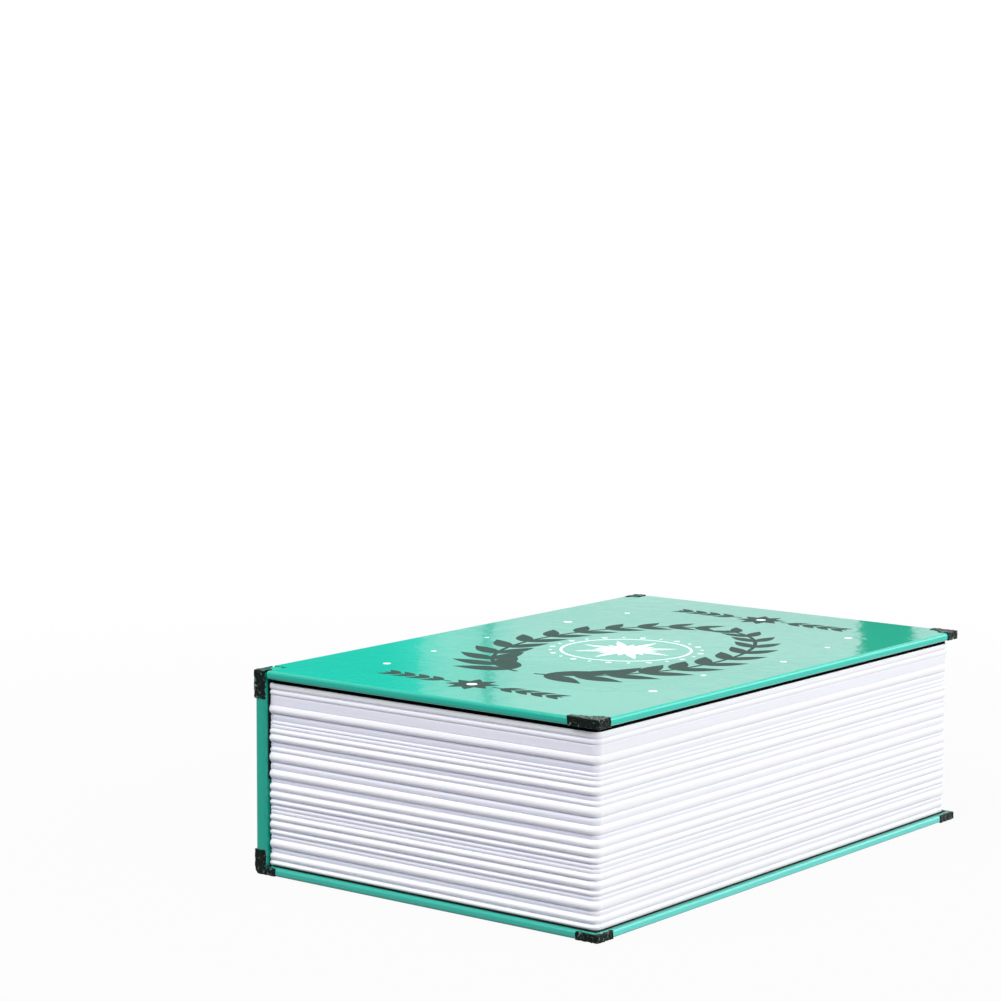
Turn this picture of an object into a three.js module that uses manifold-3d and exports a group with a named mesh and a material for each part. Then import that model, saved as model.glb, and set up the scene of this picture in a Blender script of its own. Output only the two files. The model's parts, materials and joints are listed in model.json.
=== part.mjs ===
// A book-shaped diversion safe, lying on its back cover: a hard book case round a ribbed
// page block, which hides a steel box with a hinged lid and a three-dial combination lock.
// Millimetres. The origin is the middle of the bottom face, +X runs from the spine to the
// fore edge, +Y from the tail to the head, +Z up through the front cover.
import * as THREE from "three";
import { mergeVertices } from "three/addons/utils/BufferGeometryUtils.js";
import Module from "manifold-3d";

const wasm = await Module();
wasm.setup();

// Driving dimensions of the book
const bookWidth = 116.5;
const bookHeight = 180;
const bookThickness = 57;

// Boards and papers of the case
const boardThickness = 1.75;
const wrapPaper = 0.3;
const liningPaper = 0.2;
const glueLine = 0.05;
const turnIn = 12;
const liningMargin = 1.2;
const spineBoard = 2.75;
const boardGap = 0.5;
const spineDrop = 0.2;
const jointPaper = 0.2;
const jointLiningHeight = 30;
const overrun = 1;

// Black corner papers
const cornerSheet = 0.25;
const cornerReach = 7.8;
const cornerArm = 3.8;
const spineCornerDrop = 7.8;
const lowCornerReach = 5.6;
const lowCornerRise = 7;

// Page block
const coverOverhang = 1.8;
const spineRoom = 0.3;
const frameHeight = 5.45;
const frameWall = 1.2;
const frameRib = 0.35;
const ribDepth = 0.7;
const shellCorner = 2.6;
const partingGap = 0.3;
const frameStrip = 1.45;
const shellStrip = 0.35;
const cornerSteps = 3;
const ribShoulderShare = 0.3;
// Each band of the page block from the top down: its height as a share of the piece, and
// how far it stands out as a share of the rib depth.
const frameBandShares = [[0.3, 1], [0.28, 0.8], [0.42, 0.25]];
const shellBandShares = [
  [0.053, 1], [0.043, 0.45], [0.023, 0.5], [0.025, 0.55], [0.034, 0.9], [0.052, 1],
  [0.029, 0.35], [0.032, 0.7], [0.063, 1], [0.045, 0.55], [0.057, 1], [0.025, 0.35],
  [0.05, 0.95], [0.052, 1], [0.038, 0.9], [0.029, 0.6], [0.025, 0.6], [0.041, 0.95],
  [0.054, 1], [0.036, 0.9], [0.027, 0.5], [0.057, 1], [0.029, 0.45], [0.045, 0.95],
  [0.036, 1],
];

// Steel box
const sheet = 0.7;
const sheetFit = 0.3;
const trayCorner = 2.4;
const hingeRoom = 5.2;

// Lid
const lidFit = 0.3;
const lidCorner = 3.4;
const lidRise = 4.7;
const skirtGap = 0.4;
const fieldRise = 1.2;
const fieldSlope = 3;
const fieldFrontSlope = 9;
const fieldBorder = 8;
const fieldToLock = 10;
const fieldCorner = 5;
const lockToTailEdge = 15;
const lockToForeEdge = 4;

// Hinge of the lid
const pinRadius = 0.9;
const pinPlay = 0.08;
const barrelRadius = 1.6;
const barrelRise = 0.1;
const knuckleCount = 5;
const knuckleGap = 0.3;
const leafHeight = 6;
const leafReach = 7;
const leafSheet = 0.6;
const pinHead = 0.6;
const pinHeadRadius = 1.4;
const barrelSides = 16;

// Lock face, as wide as its dials and knob need
const faceHeight = 29.4;
const faceThickness = 1.8;
const faceCorner = 2.6;
const pocketDepth = 2.2;
const pocketSlope = 1;
const pocketFit = 0.4;
const beadWidth = 1.2;
const beadRise = 0.5;
const beadSeat = 0.4;
const beadInset = 0.4;

// Lock housing and its screws
const housingEndInset = 6.2;
const housingSideInset = 2;
const housingDepth = 15.5;
const housingWall = 1.5;
const screwRadius = 1.1;
const screwHeadRadius = 2;
const screwHead = 1.2;
const screwBite = 1.2;
const screwFromEnd = 3.2;
const screwFromSide = 5;
const screwSides = 12;

// Number dials
const dialCount = 3;
const dialFaces = 10;
const dialRadius = 7;
const dialWidth = 5.6;
const dialPitch = 8.7;
const firstDialFromEdge = 15.6;
const dialSink = 0.4;
const dialRoomSide = 0.6;
const windowWidth = 6.4;
const windowHeight = 13.6;
const axleRadius = 1.5;
const axlePlay = 0.08;
const axleSeat = 1.2;
const discThickness = 1.2;
const discRadius = 5.4;
const notchWidth = 2.6;
const notchDepth = 2.2;
const roundSides = 24;

// Detent spring, and the locking bar whose fingers reach in beside the code discs
const springSheet = 0.4;
const springWidth = 4;
const springFinger = 2.6;
const springGap = 0.35;
const barSheet = 1.1;
const barHeight = 3.4;
const barFromAxle = 7.9;
const fingerSheet = 0.6;
const fingerReach = 4.2;
const fingerToDisc = 0.3;
const barTravel = 0.7;
const runningGap = 0.3;

// Knob, spindle and latch arm
const dialToKnob = 23;
const knobFromForeEdge = 16;
const knobRadius = 10.6;
const knobHeight = 3.6;
const knobTeeth = 36;
const toothDepth = 0.35;
const knobDishRadius = 8.4;
const knobDishDepth = 0.5;
const knobWellRadius = 12;
const knobWellDepth = 0.5;
const knobSeat = 0.3;
const spindleRadius = 3;
const spindleGrip = 1.8;
const spindlePlay = 0.08;
const collarRadius = 4.6;
const collarHeight = 3.4;
const collarNotch = 1.6;
const tailRadius = 2;
const latchLength = 15.5;
const latchWidth = 8;
const latchSheet = 1.6;
const latchGap = 0.4;
const nutRadius = 3.6;
const nutHeight = 2.2;
const nutSides = 6;
const keeperReach = 5;
const keeperWidth = 22;
const keeperHeight = 7;
const keeperSheet = 1.2;

// Colours and finishes
const finishes = {
  wrap: { color: 0x14a383, roughness: 0.3 },
  corner: { color: 0x16201d, roughness: 0.45 },
  board: { color: 0x8a8378, roughness: 0.9 },
  lining: { color: 0x17191a, roughness: 0.8 },
  foam: { color: 0x101113, roughness: 0.95 },
  pages: { color: 0xf1f1f6, roughness: 0.5 },
  steel: { color: 0x33373d, roughness: 0.6, metalness: 0.2 },
  zinc: { color: 0xb9bcc0, roughness: 0.35, metalness: 0.9 },
  plastic: { color: 0x1c1e22, roughness: 0.55 },
  gold: { color: 0xc9a24a, roughness: 0.25, metalness: 1 },
};
const materials = Object.fromEntries(
  Object.entries(finishes).map(([name, look]) => [name, new THREE.MeshStandardMaterial(look)]),
);

// Places that follow from the sizes
const patch = cornerSheet + glueLine;
const coverThickness = wrapPaper + boardThickness + liningPaper + 2 * glueLine;
const spineThickness = wrapPaper + spineBoard + liningPaper + 2 * glueLine;
const edgeX = bookWidth / 2 - patch;
const edgeY = bookHeight / 2 - patch;
const coverTop = bookThickness - patch;
const coverUnder = coverTop - coverThickness;
const backUnder = 0;
const backTop = backUnder + coverThickness;
const spineRight = -edgeX + spineThickness;
const spineTop = coverTop - spineDrop;
const coverStart = spineRight + boardGap;
const shellBottom = backTop + shellStrip + 2 * glueLine;
const frameTop = coverUnder - frameStrip - 2 * glueLine;
const frameBottom = frameTop - frameHeight;
const shellTop = frameBottom - partingGap;
const shellLeft = spineRight + spineRoom;
const shellRight = bookWidth / 2 - coverOverhang;
const shellHalf = bookHeight / 2 - coverOverhang;
const lidHalf = shellHalf - frameWall - lidFit;
const lidRight = shellRight - frameWall - lidFit;
const lidTop = shellTop + lidRise;
const lidBottom = lidTop - sheet;
const trayHalf = lidHalf - sheet - sheetFit;
const trayRight = lidRight - sheet - sheetFit;
const trayLeft = shellLeft + hingeRoom;
const trayBottom = backTop + glueLine;
const trayTop = lidBottom - sheetFit;
const hingeX = trayLeft - leafSheet - barrelRadius - 2 * glueLine;
const hingeZ = lidTop + barrelRise - barrelRadius;
const lidLeft = hingeX + barrelRadius + knuckleGap;
const dialSpan = (dialCount - 1) * dialPitch;
const faceWidth = firstDialFromEdge + dialSpan + dialToKnob + knobFromForeEdge;
const lockX = lidRight - lockToForeEdge - faceWidth / 2;
const lockY = -lidHalf + lockToTailEdge + faceHeight / 2;
const lockZ = lidTop - pocketDepth;
const housingTop = -faceThickness - glueLine;
const housingBottom = housingTop - housingDepth;
const dialZ = -dialSink - dialRadius;
const knobX = faceWidth / 2 - knobFromForeEdge;
const latchTop = housingBottom - latchGap;

// A three.js geometry as a solid that can be joined and cut.
function solidOf(geometry) {
  const bare = geometry.index ? geometry.toNonIndexed() : geometry.clone();
  bare.deleteAttribute("normal");
  bare.deleteAttribute("uv");
  const merged = mergeVertices(bare, 1e-4);
  return new wasm.Manifold(
    new wasm.Mesh({
      numProp: 3,
      vertProperties: merged.attributes.position.array,
      triVerts: new Uint32Array(merged.index.array),
    }),
  );
}

// A solid back as a three.js geometry.
function geometryOf(solid) {
  const mesh = solid.getMesh();
  const geometry = new THREE.BufferGeometry();
  geometry.setAttribute("position", new THREE.BufferAttribute(mesh.vertProperties, 3));
  geometry.setIndex(new THREE.BufferAttribute(mesh.triVerts, 1));
  geometry.computeVertexNormals();
  return geometry;
}

const join = (first, ...others) => others.reduce((made, next) => made.add(next), first);
const cut = (first, ...others) => others.reduce((made, next) => made.subtract(next), first);

// A block between two corners.
function block([x0, y0, z0], [x1, y1, z1]) {
  const geometry = new THREE.BoxGeometry(x1 - x0, y1 - y0, z1 - z0);
  geometry.translate((x0 + x1) / 2, (y0 + y1) / 2, (z0 + z1) / 2);
  return solidOf(geometry);
}

// A flat outline raised from z0 to z1.
function prism(outline, z0, z1, steps = cornerSteps) {
  const geometry = new THREE.ExtrudeGeometry(outline, {
    depth: z1 - z0,
    bevelEnabled: false,
    curveSegments: steps,
  });
  geometry.translate(0, 0, z0);
  return solidOf(geometry);
}

// A rectangle with round corners, from x0 to x1 and y0 to y1.
function roundedOutline(x0, x1, y0, y1, radius) {
  const outline = new THREE.Shape();
  outline.absarc(x1 - radius, y1 - radius, radius, 0, Math.PI / 2);
  outline.absarc(x0 + radius, y1 - radius, radius, Math.PI / 2, Math.PI);
  outline.absarc(x0 + radius, y0 + radius, radius, Math.PI, 1.5 * Math.PI);
  outline.absarc(x1 - radius, y0 + radius, radius, 1.5 * Math.PI, 2 * Math.PI);
  outline.closePath();
  return outline;
}

// The points of a round-cornered rectangle at one height, for loft.
function ring(x0, x1, y0, y1, radius, z, steps = cornerSteps) {
  const centres = [
    [x1 - radius, y1 - radius],
    [x0 + radius, y1 - radius],
    [x0 + radius, y0 + radius],
    [x1 - radius, y0 + radius],
  ];
  return centres.flatMap(([cx, cy], quarter) =>
    Array.from({ length: steps + 1 }, (_, step) => {
      const angle = ((quarter + step / steps) * Math.PI) / 2;
      return [cx + radius * Math.cos(angle), cy + radius * Math.sin(angle), z];
    }),
  );
}

// A solid through rings of equal count, from the lowest to the highest.
function loft(rings) {
  const count = rings[0].length;
  const positions = rings.flat(2);
  const faces = [];
  for (let level = 0; level < rings.length - 1; level++) {
    for (let i = 0; i < count; i++) {
      const a = level * count + i;
      const b = level * count + ((i + 1) % count);
      faces.push(a, b, b + count, a, b + count, a + count);
    }
  }
  const top = (rings.length - 1) * count;
  for (let i = 1; i < count - 1; i++) {
    faces.push(0, i + 1, i);
    faces.push(top, top + i, top + i + 1);
  }
  const geometry = new THREE.BufferGeometry();
  geometry.setAttribute("position", new THREE.Float32BufferAttribute(positions, 3));
  geometry.setIndex(faces);
  return solidOf(geometry);
}

// A round bar from one end to the other along X, Y or Z, turned about itself by turn.
function bar(axis, radius, from, to, [u, v], sides = roundSides, turn = 0) {
  const geometry = new THREE.CylinderGeometry(radius, radius, to - from, sides).rotateY(turn);
  const middle = (from + to) / 2;
  if (axis === "x") geometry.rotateZ(Math.PI / 2).translate(middle, u, v);
  if (axis === "y") geometry.translate(u, middle, v);
  if (axis === "z") geometry.rotateX(Math.PI / 2).translate(u, v, middle);
  return solidOf(geometry);
}

const book = new THREE.Group();
const lock = new THREE.Group();
lock.position.set(lockX, lockY, lockZ);
book.add(lock);

// Adds one named piece to the book, or to the lock.
function piece(name, finish, solid, group = book) {
  const mesh = new THREE.Mesh(geometryOf(solid), materials[finish]);
  mesh.name = name;
  group.add(mesh);
  return mesh;
}

// A column over a corner paper's outline: a square on the fore edge's corner with a round
// bite taken out of its inner corner. sideY is -1 at the tail and 1 at the head.
function cornerColumn(sideY, z0, z1) {
  const bite = cornerReach - cornerArm;
  const at = (dx, dy) => new THREE.Vector2(bookWidth / 2 - dx, sideY * (bookHeight / 2 - dy));
  const points = [at(-overrun, -overrun), at(cornerReach, -overrun)];
  for (let step = 0; step <= cornerSteps; step++) {
    const angle = ((step / cornerSteps) * Math.PI) / 2;
    points.push(at(cornerReach - bite * Math.sin(angle), cornerReach - bite * Math.cos(angle)));
  }
  points.push(at(-overrun, cornerReach));
  return prism(new THREE.Shape(points), z0, z1);
}

// A thin sheet round the faces of a block. low and high are the block's corners, and out
// says, for each low face and each high face, whether the sheet covers it.
function skin(low, high, out) {
  const grown = (by, bare) => [
    low.map((value, i) => value - (out[0][i] ? by : bare)),
    high.map((value, i) => value + (out[1][i] ? by : bare)),
  ];
  return cut(block(...grown(patch, 0)), block(...grown(glueLine, overrun)));
}

// The printed paper round a board: its outer face, its edges and the turn-ins. outside is
// the height of the outer face and up is 1 where that face looks up.
function coverPaper(outside, up) {
  const inside = outside - up * coverThickness;
  const slab = (edge, from, to) =>
    block(
      [coverStart + edge, -edgeY + edge, Math.min(from, to)],
      [edgeX - edge, edgeY - edge, Math.max(from, to)],
    );
  const roomFloor = inside + up * liningPaper;
  return cut(
    slab(0, outside, inside),
    slab(wrapPaper, outside - up * wrapPaper, roomFloor),
    slab(liningMargin, inside - up * overrun, roomFloor + up * glueLine),
  );
}

function coverBoard(outside, up) {
  const edge = wrapPaper + glueLine;
  const faces = [outside - up * edge, outside - up * (edge + boardThickness)];
  return block(
    [coverStart + edge, -edgeY + edge, Math.min(...faces)],
    [edgeX - edge, edgeY - edge, Math.max(...faces)],
  );
}

// The lining paper, pressed flush with the turned-in edges of the wrap.
function coverLining(outside, up) {
  const inside = outside - up * coverThickness;
  const faces = [inside, inside + up * liningPaper];
  const edge = liningMargin + glueLine;
  return block(
    [coverStart + edge, -edgeY + edge, Math.min(...faces)],
    [edgeX - edge, edgeY - edge, Math.max(...faces)],
  );
}

// A cover's black corner paper, over its edges, and over its outer face where that looks
// up. Under the back cover the papers are pressed flush, so the book lies flat.
function coverCorner(outside, up, sideY) {
  const low = [coverStart, -edgeY, Math.min(outside, outside - up * coverThickness)];
  const high = [edgeX, edgeY, Math.max(outside, outside - up * coverThickness)];
  const out = [[false, sideY < 0, false], [true, sideY > 0, up > 0]];
  const column = cornerColumn(sideY, low[2] - overrun, high[2] + overrun);
  return skin(low, high, out).intersect(column);
}

const ends = [["tail", -1], ["head", 1]];

function buildFrontCover() {
  piece("front_wrap", "wrap", coverPaper(coverTop, 1));
  piece("front_board", "board", coverBoard(coverTop, 1));
  piece("front_endpaper", "lining", coverLining(coverTop, 1));
  for (const [end, side] of ends) {
    piece(`corner_front_${end}_fore`, "corner", coverCorner(coverTop, 1, side));
  }
}

function buildBackCover() {
  piece("back_wrap", "wrap", coverPaper(backUnder, -1));
  piece("back_board", "board", coverBoard(backUnder, -1));
  piece("back_endpaper", "lining", coverLining(backUnder, -1));
  for (const [end, side] of ends) {
    piece(`corner_back_${end}_fore`, "corner", coverCorner(backUnder, -1, side));
  }
}

// The spine: a board in its paper, the papers that join it to the covers, and its corners.
function buildSpine() {
  const low = [-edgeX, -edgeY, backUnder];
  const high = [spineRight, edgeY, spineTop];
  const edge = wrapPaper + glueLine;
  const roomRight = spineRight - liningPaper;
  const room = block(
    low.map((value) => value + wrapPaper),
    [roomRight, edgeY - wrapPaper, spineTop - wrapPaper],
  );
  const window = block(
    [roomRight - glueLine, -edgeY + turnIn, backUnder + turnIn],
    [spineRight + overrun, edgeY - turnIn, spineTop - turnIn],
  );
  piece("spine_wrap", "wrap", cut(block(low, high), room, window));
  piece("spine_board", "board", block(
    low.map((value) => value + edge),
    [roomRight - glueLine, edgeY - edge, spineTop - edge],
  ));
  // The flexible paper that the front cover swings on lies over the spine's top edge
  piece("front_joint", "wrap", block(
    [-edgeX + glueLine, -edgeY + cornerReach, spineTop + glueLine],
    [spineRight, edgeY - cornerReach, spineTop + glueLine + jointPaper],
  ));
  piece("back_joint", "wrap", block(
    [spineRight + glueLine, -edgeY + turnIn, backUnder],
    [coverStart - glueLine, edgeY - turnIn, backUnder + wrapPaper],
  ));
  piece("joint_lining", "lining", block(
    [spineRight + glueLine, -shellHalf, spineTop - jointLiningHeight],
    [spineRight + glueLine + liningPaper, shellHalf, spineTop - spineDrop],
  ));
  for (const [end, side] of ends) {
    const out = [[true, side < 0, false], [false, side > 0, true]];
    const y0 = side < 0 ? -bookHeight / 2 - overrun : edgeY - cornerReach + patch;
    const y1 = side < 0 ? -edgeY + cornerReach - patch : bookHeight / 2 + overrun;
    const topZone = block(
      [-bookWidth / 2 - overrun, y0, spineTop - spineCornerDrop],
      [spineRight, y1, bookThickness + overrun],
    );
    piece(`corner_spine_top_${end}`, "corner", skin(low, high, out).intersect(topZone));
    // The low corner wraps the spine and the back cover together
    const outLow = [[true, side < 0, false], [false, side > 0, false]];
    const bookHigh = [edgeX, edgeY, spineTop];
    const lowZone = block(
      [-bookWidth / 2 - overrun, y0, -overrun],
      [-bookWidth / 2 + lowCornerReach, y1, lowCornerRise],
    );
    const lowCorner = skin(low, bookHigh, outLow).intersect(lowZone);
    const overBack = block(
      [spineRight + glueLine, y0, backTop - glueLine],
      [bookWidth / 2, y1, bookThickness],
    );
    piece(`corner_spine_low_${end}`, "corner", cut(lowCorner, overBack));
  }
}

// A ribbed solid from z0 up to z1, with its bands listed from the top down.
function ribbed(bands, depth, z0, z1) {
  const total = bands.reduce((sum, [share]) => sum + share, 0);
  const rings = [];
  const addRing = (z, inset) => {
    rings.push(
      ring(shellLeft + inset, shellRight - inset, -shellHalf + inset, shellHalf - inset,
        shellCorner - inset, z),
    );
  };
  let z = z1;
  for (const [share, stand] of bands) {
    const band = ((z1 - z0) * share) / total;
    const crest = depth * (1 - stand);
    addRing(z, depth);
    addRing(z - band * ribShoulderShare, crest);
    addRing(z - band * (1 - ribShoulderShare), crest);
    z -= band;
  }
  addRing(z0, depth);
  return loft(rings.reverse());
}

// A foam strip that bonds the page block to a cover, set back behind the ribs.
function foamRing(inset, z0, z1, room) {
  const outline = roundedOutline(shellLeft + inset, shellRight - inset, -shellHalf + inset,
    shellHalf - inset, shellCorner - inset);
  return cut(prism(outline, z0, z1), room);
}

// The moulded page block: a shell round the steel box, and a frame under the front cover.
function buildPageBlock() {
  const cavity = prism(
    roundedOutline(shellLeft + frameWall, trayRight + sheetFit, -trayHalf - sheetFit,
      trayHalf + sheetFit, trayCorner + sheetFit),
    shellBottom - overrun,
    shellTop + overrun,
  );
  const shell = ribbed(shellBandShares, ribDepth, shellBottom, shellTop);
  piece("page_shell", "pages", cut(shell, cavity));
  piece("shell_strip", "foam",
    foamRing(ribDepth, backTop + glueLine, shellBottom - glueLine, cavity));

  const opening = block(
    [shellLeft - overrun, -shellHalf + frameWall, frameBottom - overrun],
    [shellRight - frameWall, shellHalf - frameWall, coverTop],
  );
  const frame = ribbed(frameBandShares, frameRib, frameBottom, frameTop);
  piece("page_frame", "pages", cut(frame, opening));
  piece("frame_strip", "foam",
    foamRing(frameRib, frameTop + glueLine, coverUnder - glueLine, opening));
}

// The steel tray, with its wall cut down under the hinge, and the keeper for the latch.
function buildTray() {
  const outline = (inset) =>
    roundedOutline(trayLeft + inset, trayRight - inset, -trayHalf + inset, trayHalf - inset,
      trayCorner - inset);
  const hingeSide = block(
    [trayLeft - overrun, -trayHalf + trayCorner, hingeZ - barrelRadius],
    [trayLeft + trayCorner, trayHalf - trayCorner, trayTop + overrun],
  );
  piece("box_tray", "steel", cut(
    prism(outline(0), trayBottom, trayTop),
    prism(outline(sheet), trayBottom + sheet, trayTop + overrun),
    hingeSide,
  ));
  const lipUnder = lockZ + latchTop + runningGap;
  const keeperX = trayRight - sheet - glueLine;
  const tailSide = lockY - keeperWidth / 2;
  const headSide = lockY + keeperWidth / 2;
  const upright = block(
    [keeperX - keeperSheet, tailSide, lipUnder + keeperSheet - keeperHeight],
    [keeperX, headSide, lipUnder + keeperSheet],
  );
  const lip = block(
    [keeperX - keeperReach, tailSide, lipUnder],
    [keeperX, headSide, lipUnder + keeperSheet],
  );
  piece("latch_keeper", "zinc", join(upright, lip));
}

const screwPlaces = [-1, 1].flatMap((endSide) =>
  [-1, 1].map((side) => [
    endSide * (faceWidth / 2 - screwFromEnd),
    side * (faceHeight / 2 - screwFromSide),
  ]),
);

// The pressed lid: a sheet with a raised field, a pocket for the lock and a skirt.
function buildLid() {
  const lidOutline = roundedOutline(lidLeft, lidRight, -lidHalf, lidHalf, lidCorner);
  const underOutline = roundedOutline(lidLeft - lidCorner, lidRight - sheet, -lidHalf + sheet,
    lidHalf - sheet, lidCorner - sheet);
  const skirtLow = shellTop + skirtGap;
  const cap = cut(
    prism(lidOutline, skirtLow, lidTop),
    prism(underOutline, skirtLow - overrun, lidBottom),
  );
  const fieldLeft = lidLeft + fieldBorder;
  const fieldRight = lidRight - fieldBorder;
  const fieldTail = lockY + faceHeight / 2 + fieldToLock;
  const fieldHead = lidHalf - fieldBorder;
  const field = (base) =>
    loft([
      ring(fieldLeft, fieldRight, fieldTail, fieldHead, fieldCorner, base - overrun),
      ring(fieldLeft, fieldRight, fieldTail, fieldHead, fieldCorner, base),
      ring(fieldLeft + fieldSlope, fieldRight - fieldSlope, fieldTail + fieldFrontSlope,
        fieldHead - fieldSlope, fieldCorner, base + fieldRise),
    ]);
  const half = [faceWidth / 2 + pocketFit, faceHeight / 2 + pocketFit];
  const floor = lockZ - faceThickness - glueLine;
  const pocketRing = (grow, z) =>
    ring(lockX - half[0] - grow, lockX + half[0] + grow, lockY - half[1] - grow,
      lockY + half[1] + grow, faceCorner + grow, z);
  const pocket = loft([
    pocketRing(0, floor),
    pocketRing(0, lidTop - pocketSlope),
    pocketRing(pocketSlope, lidTop),
    pocketRing(pocketSlope, lidTop + overrun),
  ]);
  const tub = loft([
    pocketRing(sheet, floor - sheet),
    pocketRing(sheet, lidTop - pocketSlope - sheet / 2),
    pocketRing(sheet + pocketSlope, lidTop - sheet / 2),
  ]);
  const hole = block(
    [lockX - faceWidth / 2 + housingEndInset - sheetFit,
      lockY - faceHeight / 2 + housingSideInset - sheetFit, floor - sheet - overrun],
    [lockX + faceWidth / 2 - housingEndInset + sheetFit,
      lockY + faceHeight / 2 - housingSideInset + sheetFit, lidTop],
  );
  const screwHoles = screwPlaces.map(([x, y]) =>
    bar("z", screwRadius + glueLine, floor - sheet - overrun, lidTop, [lockX + x, lockY + y],
      screwSides),
  );
  const pressed = cut(join(cap, field(lidTop)), field(lidBottom));
  piece("box_lid", "steel", cut(join(pressed, tub), pocket, hole, ...screwHoles));
}

// The lid's hinge: knuckles taken in turn by a leaf on the tray and a leaf on the lid.
function buildHinge() {
  const length = 2 * (trayHalf - 2 * trayCorner);
  const pitch = length / knuckleCount;
  const axis = [hingeX, hingeZ];
  const leafTop = lidBottom - glueLine;
  const trayFace = trayLeft - glueLine;
  let trayLeaf = block(
    [trayFace - leafSheet, -length / 2, hingeZ - leafHeight],
    [trayFace, length / 2, hingeZ - barrelRadius - runningGap],
  );
  let lidLeaf = block(
    [lidLeft, -length / 2, leafTop - leafSheet],
    [lidLeft + leafReach, length / 2, leafTop],
  );
  for (let knuckle = 0; knuckle < knuckleCount; knuckle++) {
    const start = -length / 2 + knuckle * pitch + knuckleGap / 2;
    const end = start + pitch - knuckleGap;
    const barrel = bar("y", barrelRadius, start, end, axis, barrelSides);
    if (knuckle % 2 === 0) {
      const web = block(
        [hingeX, start, hingeZ - barrelRadius - runningGap - leafSheet],
        [trayFace, end, hingeZ - barrelRadius + leafSheet],
      );
      trayLeaf = join(trayLeaf, barrel, web);
    } else {
      const web = block(
        [hingeX + pinRadius, start, leafTop - leafSheet],
        [lidLeft + leafReach, end, leafTop],
      );
      lidLeaf = join(lidLeaf, barrel, web);
    }
  }
  const bore = bar("y", pinRadius + pinPlay, -length, length, axis, barrelSides);
  piece("tray_hinge_leaf", "zinc", cut(trayLeaf, bore));
  piece("lid_hinge_leaf", "zinc", cut(lidLeaf, bore));
  const headStart = length / 2 + glueLine;
  const shaft = bar("y", pinRadius, -length / 2, headStart + pinHead, axis, barrelSides);
  const head = bar("y", pinHeadRadius, headStart, headStart + pinHead, axis, barrelSides);
  piece("hinge_pin", "zinc", join(shaft, head));
}

const dialX = (index) => -faceWidth / 2 + firstDialFromEdge + index * dialPitch;
const dialRoomLeft = dialX(0) - dialWidth / 2 - dialRoomSide;
const fingerStart = dialWidth / 2 + discThickness + fingerToDisc;
const fingerRoom = fingerStart + fingerSheet + barTravel + runningGap;
const dialRoomRight = dialX(dialCount - 1) + fingerRoom;
const barX = knobX - collarRadius - runningGap - barTravel - barSheet;
const barZ = dialZ - barHeight / 2;

// The lock's face with its gilt bead, in the lock's own frame.
function buildLockFace() {
  const faceOutline = (inset) =>
    roundedOutline(-faceWidth / 2 + inset, faceWidth / 2 - inset, -faceHeight / 2 + inset,
      faceHeight / 2 - inset, faceCorner - inset);
  const windows = Array.from({ length: dialCount }, (_, index) =>
    block(
      [dialX(index) - windowWidth / 2, -windowHeight / 2, -faceThickness - overrun],
      [dialX(index) + windowWidth / 2, windowHeight / 2, overrun],
    ),
  );
  const well = bar("z", knobWellRadius, -knobWellDepth, overrun, [knobX, 0], 2 * roundSides);
  const spindleHole = bar("z", spindleRadius + spindlePlay, -faceThickness - overrun, overrun,
    [knobX, 0]);
  const beadRing = (room) => cut(
    prism(faceOutline(beadInset - room), -beadSeat - room, beadRise),
    prism(faceOutline(beadInset + beadWidth + room), -beadSeat - overrun, beadRise + overrun),
  );
  const screwBores = screwPlaces.map(([x, y]) =>
    bar("z", screwRadius + glueLine, -faceThickness - overrun, -faceThickness + screwBite,
      [x, y], screwSides),
  );
  const face = prism(faceOutline(0), -faceThickness, 0);
  piece("lock_face", "plastic",
    cut(face, ...windows, well, spindleHole, beadRing(glueLine), ...screwBores), lock);
  piece("lock_bead", "gold", beadRing(0), lock);
}

// The housing under the face, which carries the dials, the spring and the bar.
function buildLockHousing() {
  const left = -faceWidth / 2 + housingEndInset;
  const right = faceWidth / 2 - housingEndInset;
  const half = faceHeight / 2 - housingSideInset;
  const dialRoom = block(
    [dialRoomLeft, -half + housingWall, housingBottom + housingWall],
    [dialRoomRight, half - housingWall, housingTop + overrun],
  );
  const collarRoom = block(
    [barX - runningGap, -collarRadius - runningGap, barZ - runningGap],
    [knobX + collarRadius + runningGap, barFromAxle + barSheet + runningGap, housingTop + overrun],
  );
  const barChannel = block(
    [dialRoomLeft, barFromAxle - runningGap, barZ - runningGap],
    [barX + barSheet, barFromAxle + barSheet + runningGap, housingTop + overrun],
  );
  const spindleBore = bar("z", spindleRadius + spindlePlay, housingBottom - overrun,
    housingTop + overrun, [knobX, 0]);
  const axleBore = bar("x", axleRadius + glueLine, dialRoomLeft - axleSeat - glueLine,
    dialRoomRight + axleSeat + glueLine, [0, dialZ]);
  const housing = block([left, -half, housingBottom], [right, half, housingTop]);
  piece("lock_housing", "plastic",
    cut(housing, dialRoom, collarRoom, barChannel, spindleBore, axleBore), lock);
}

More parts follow.
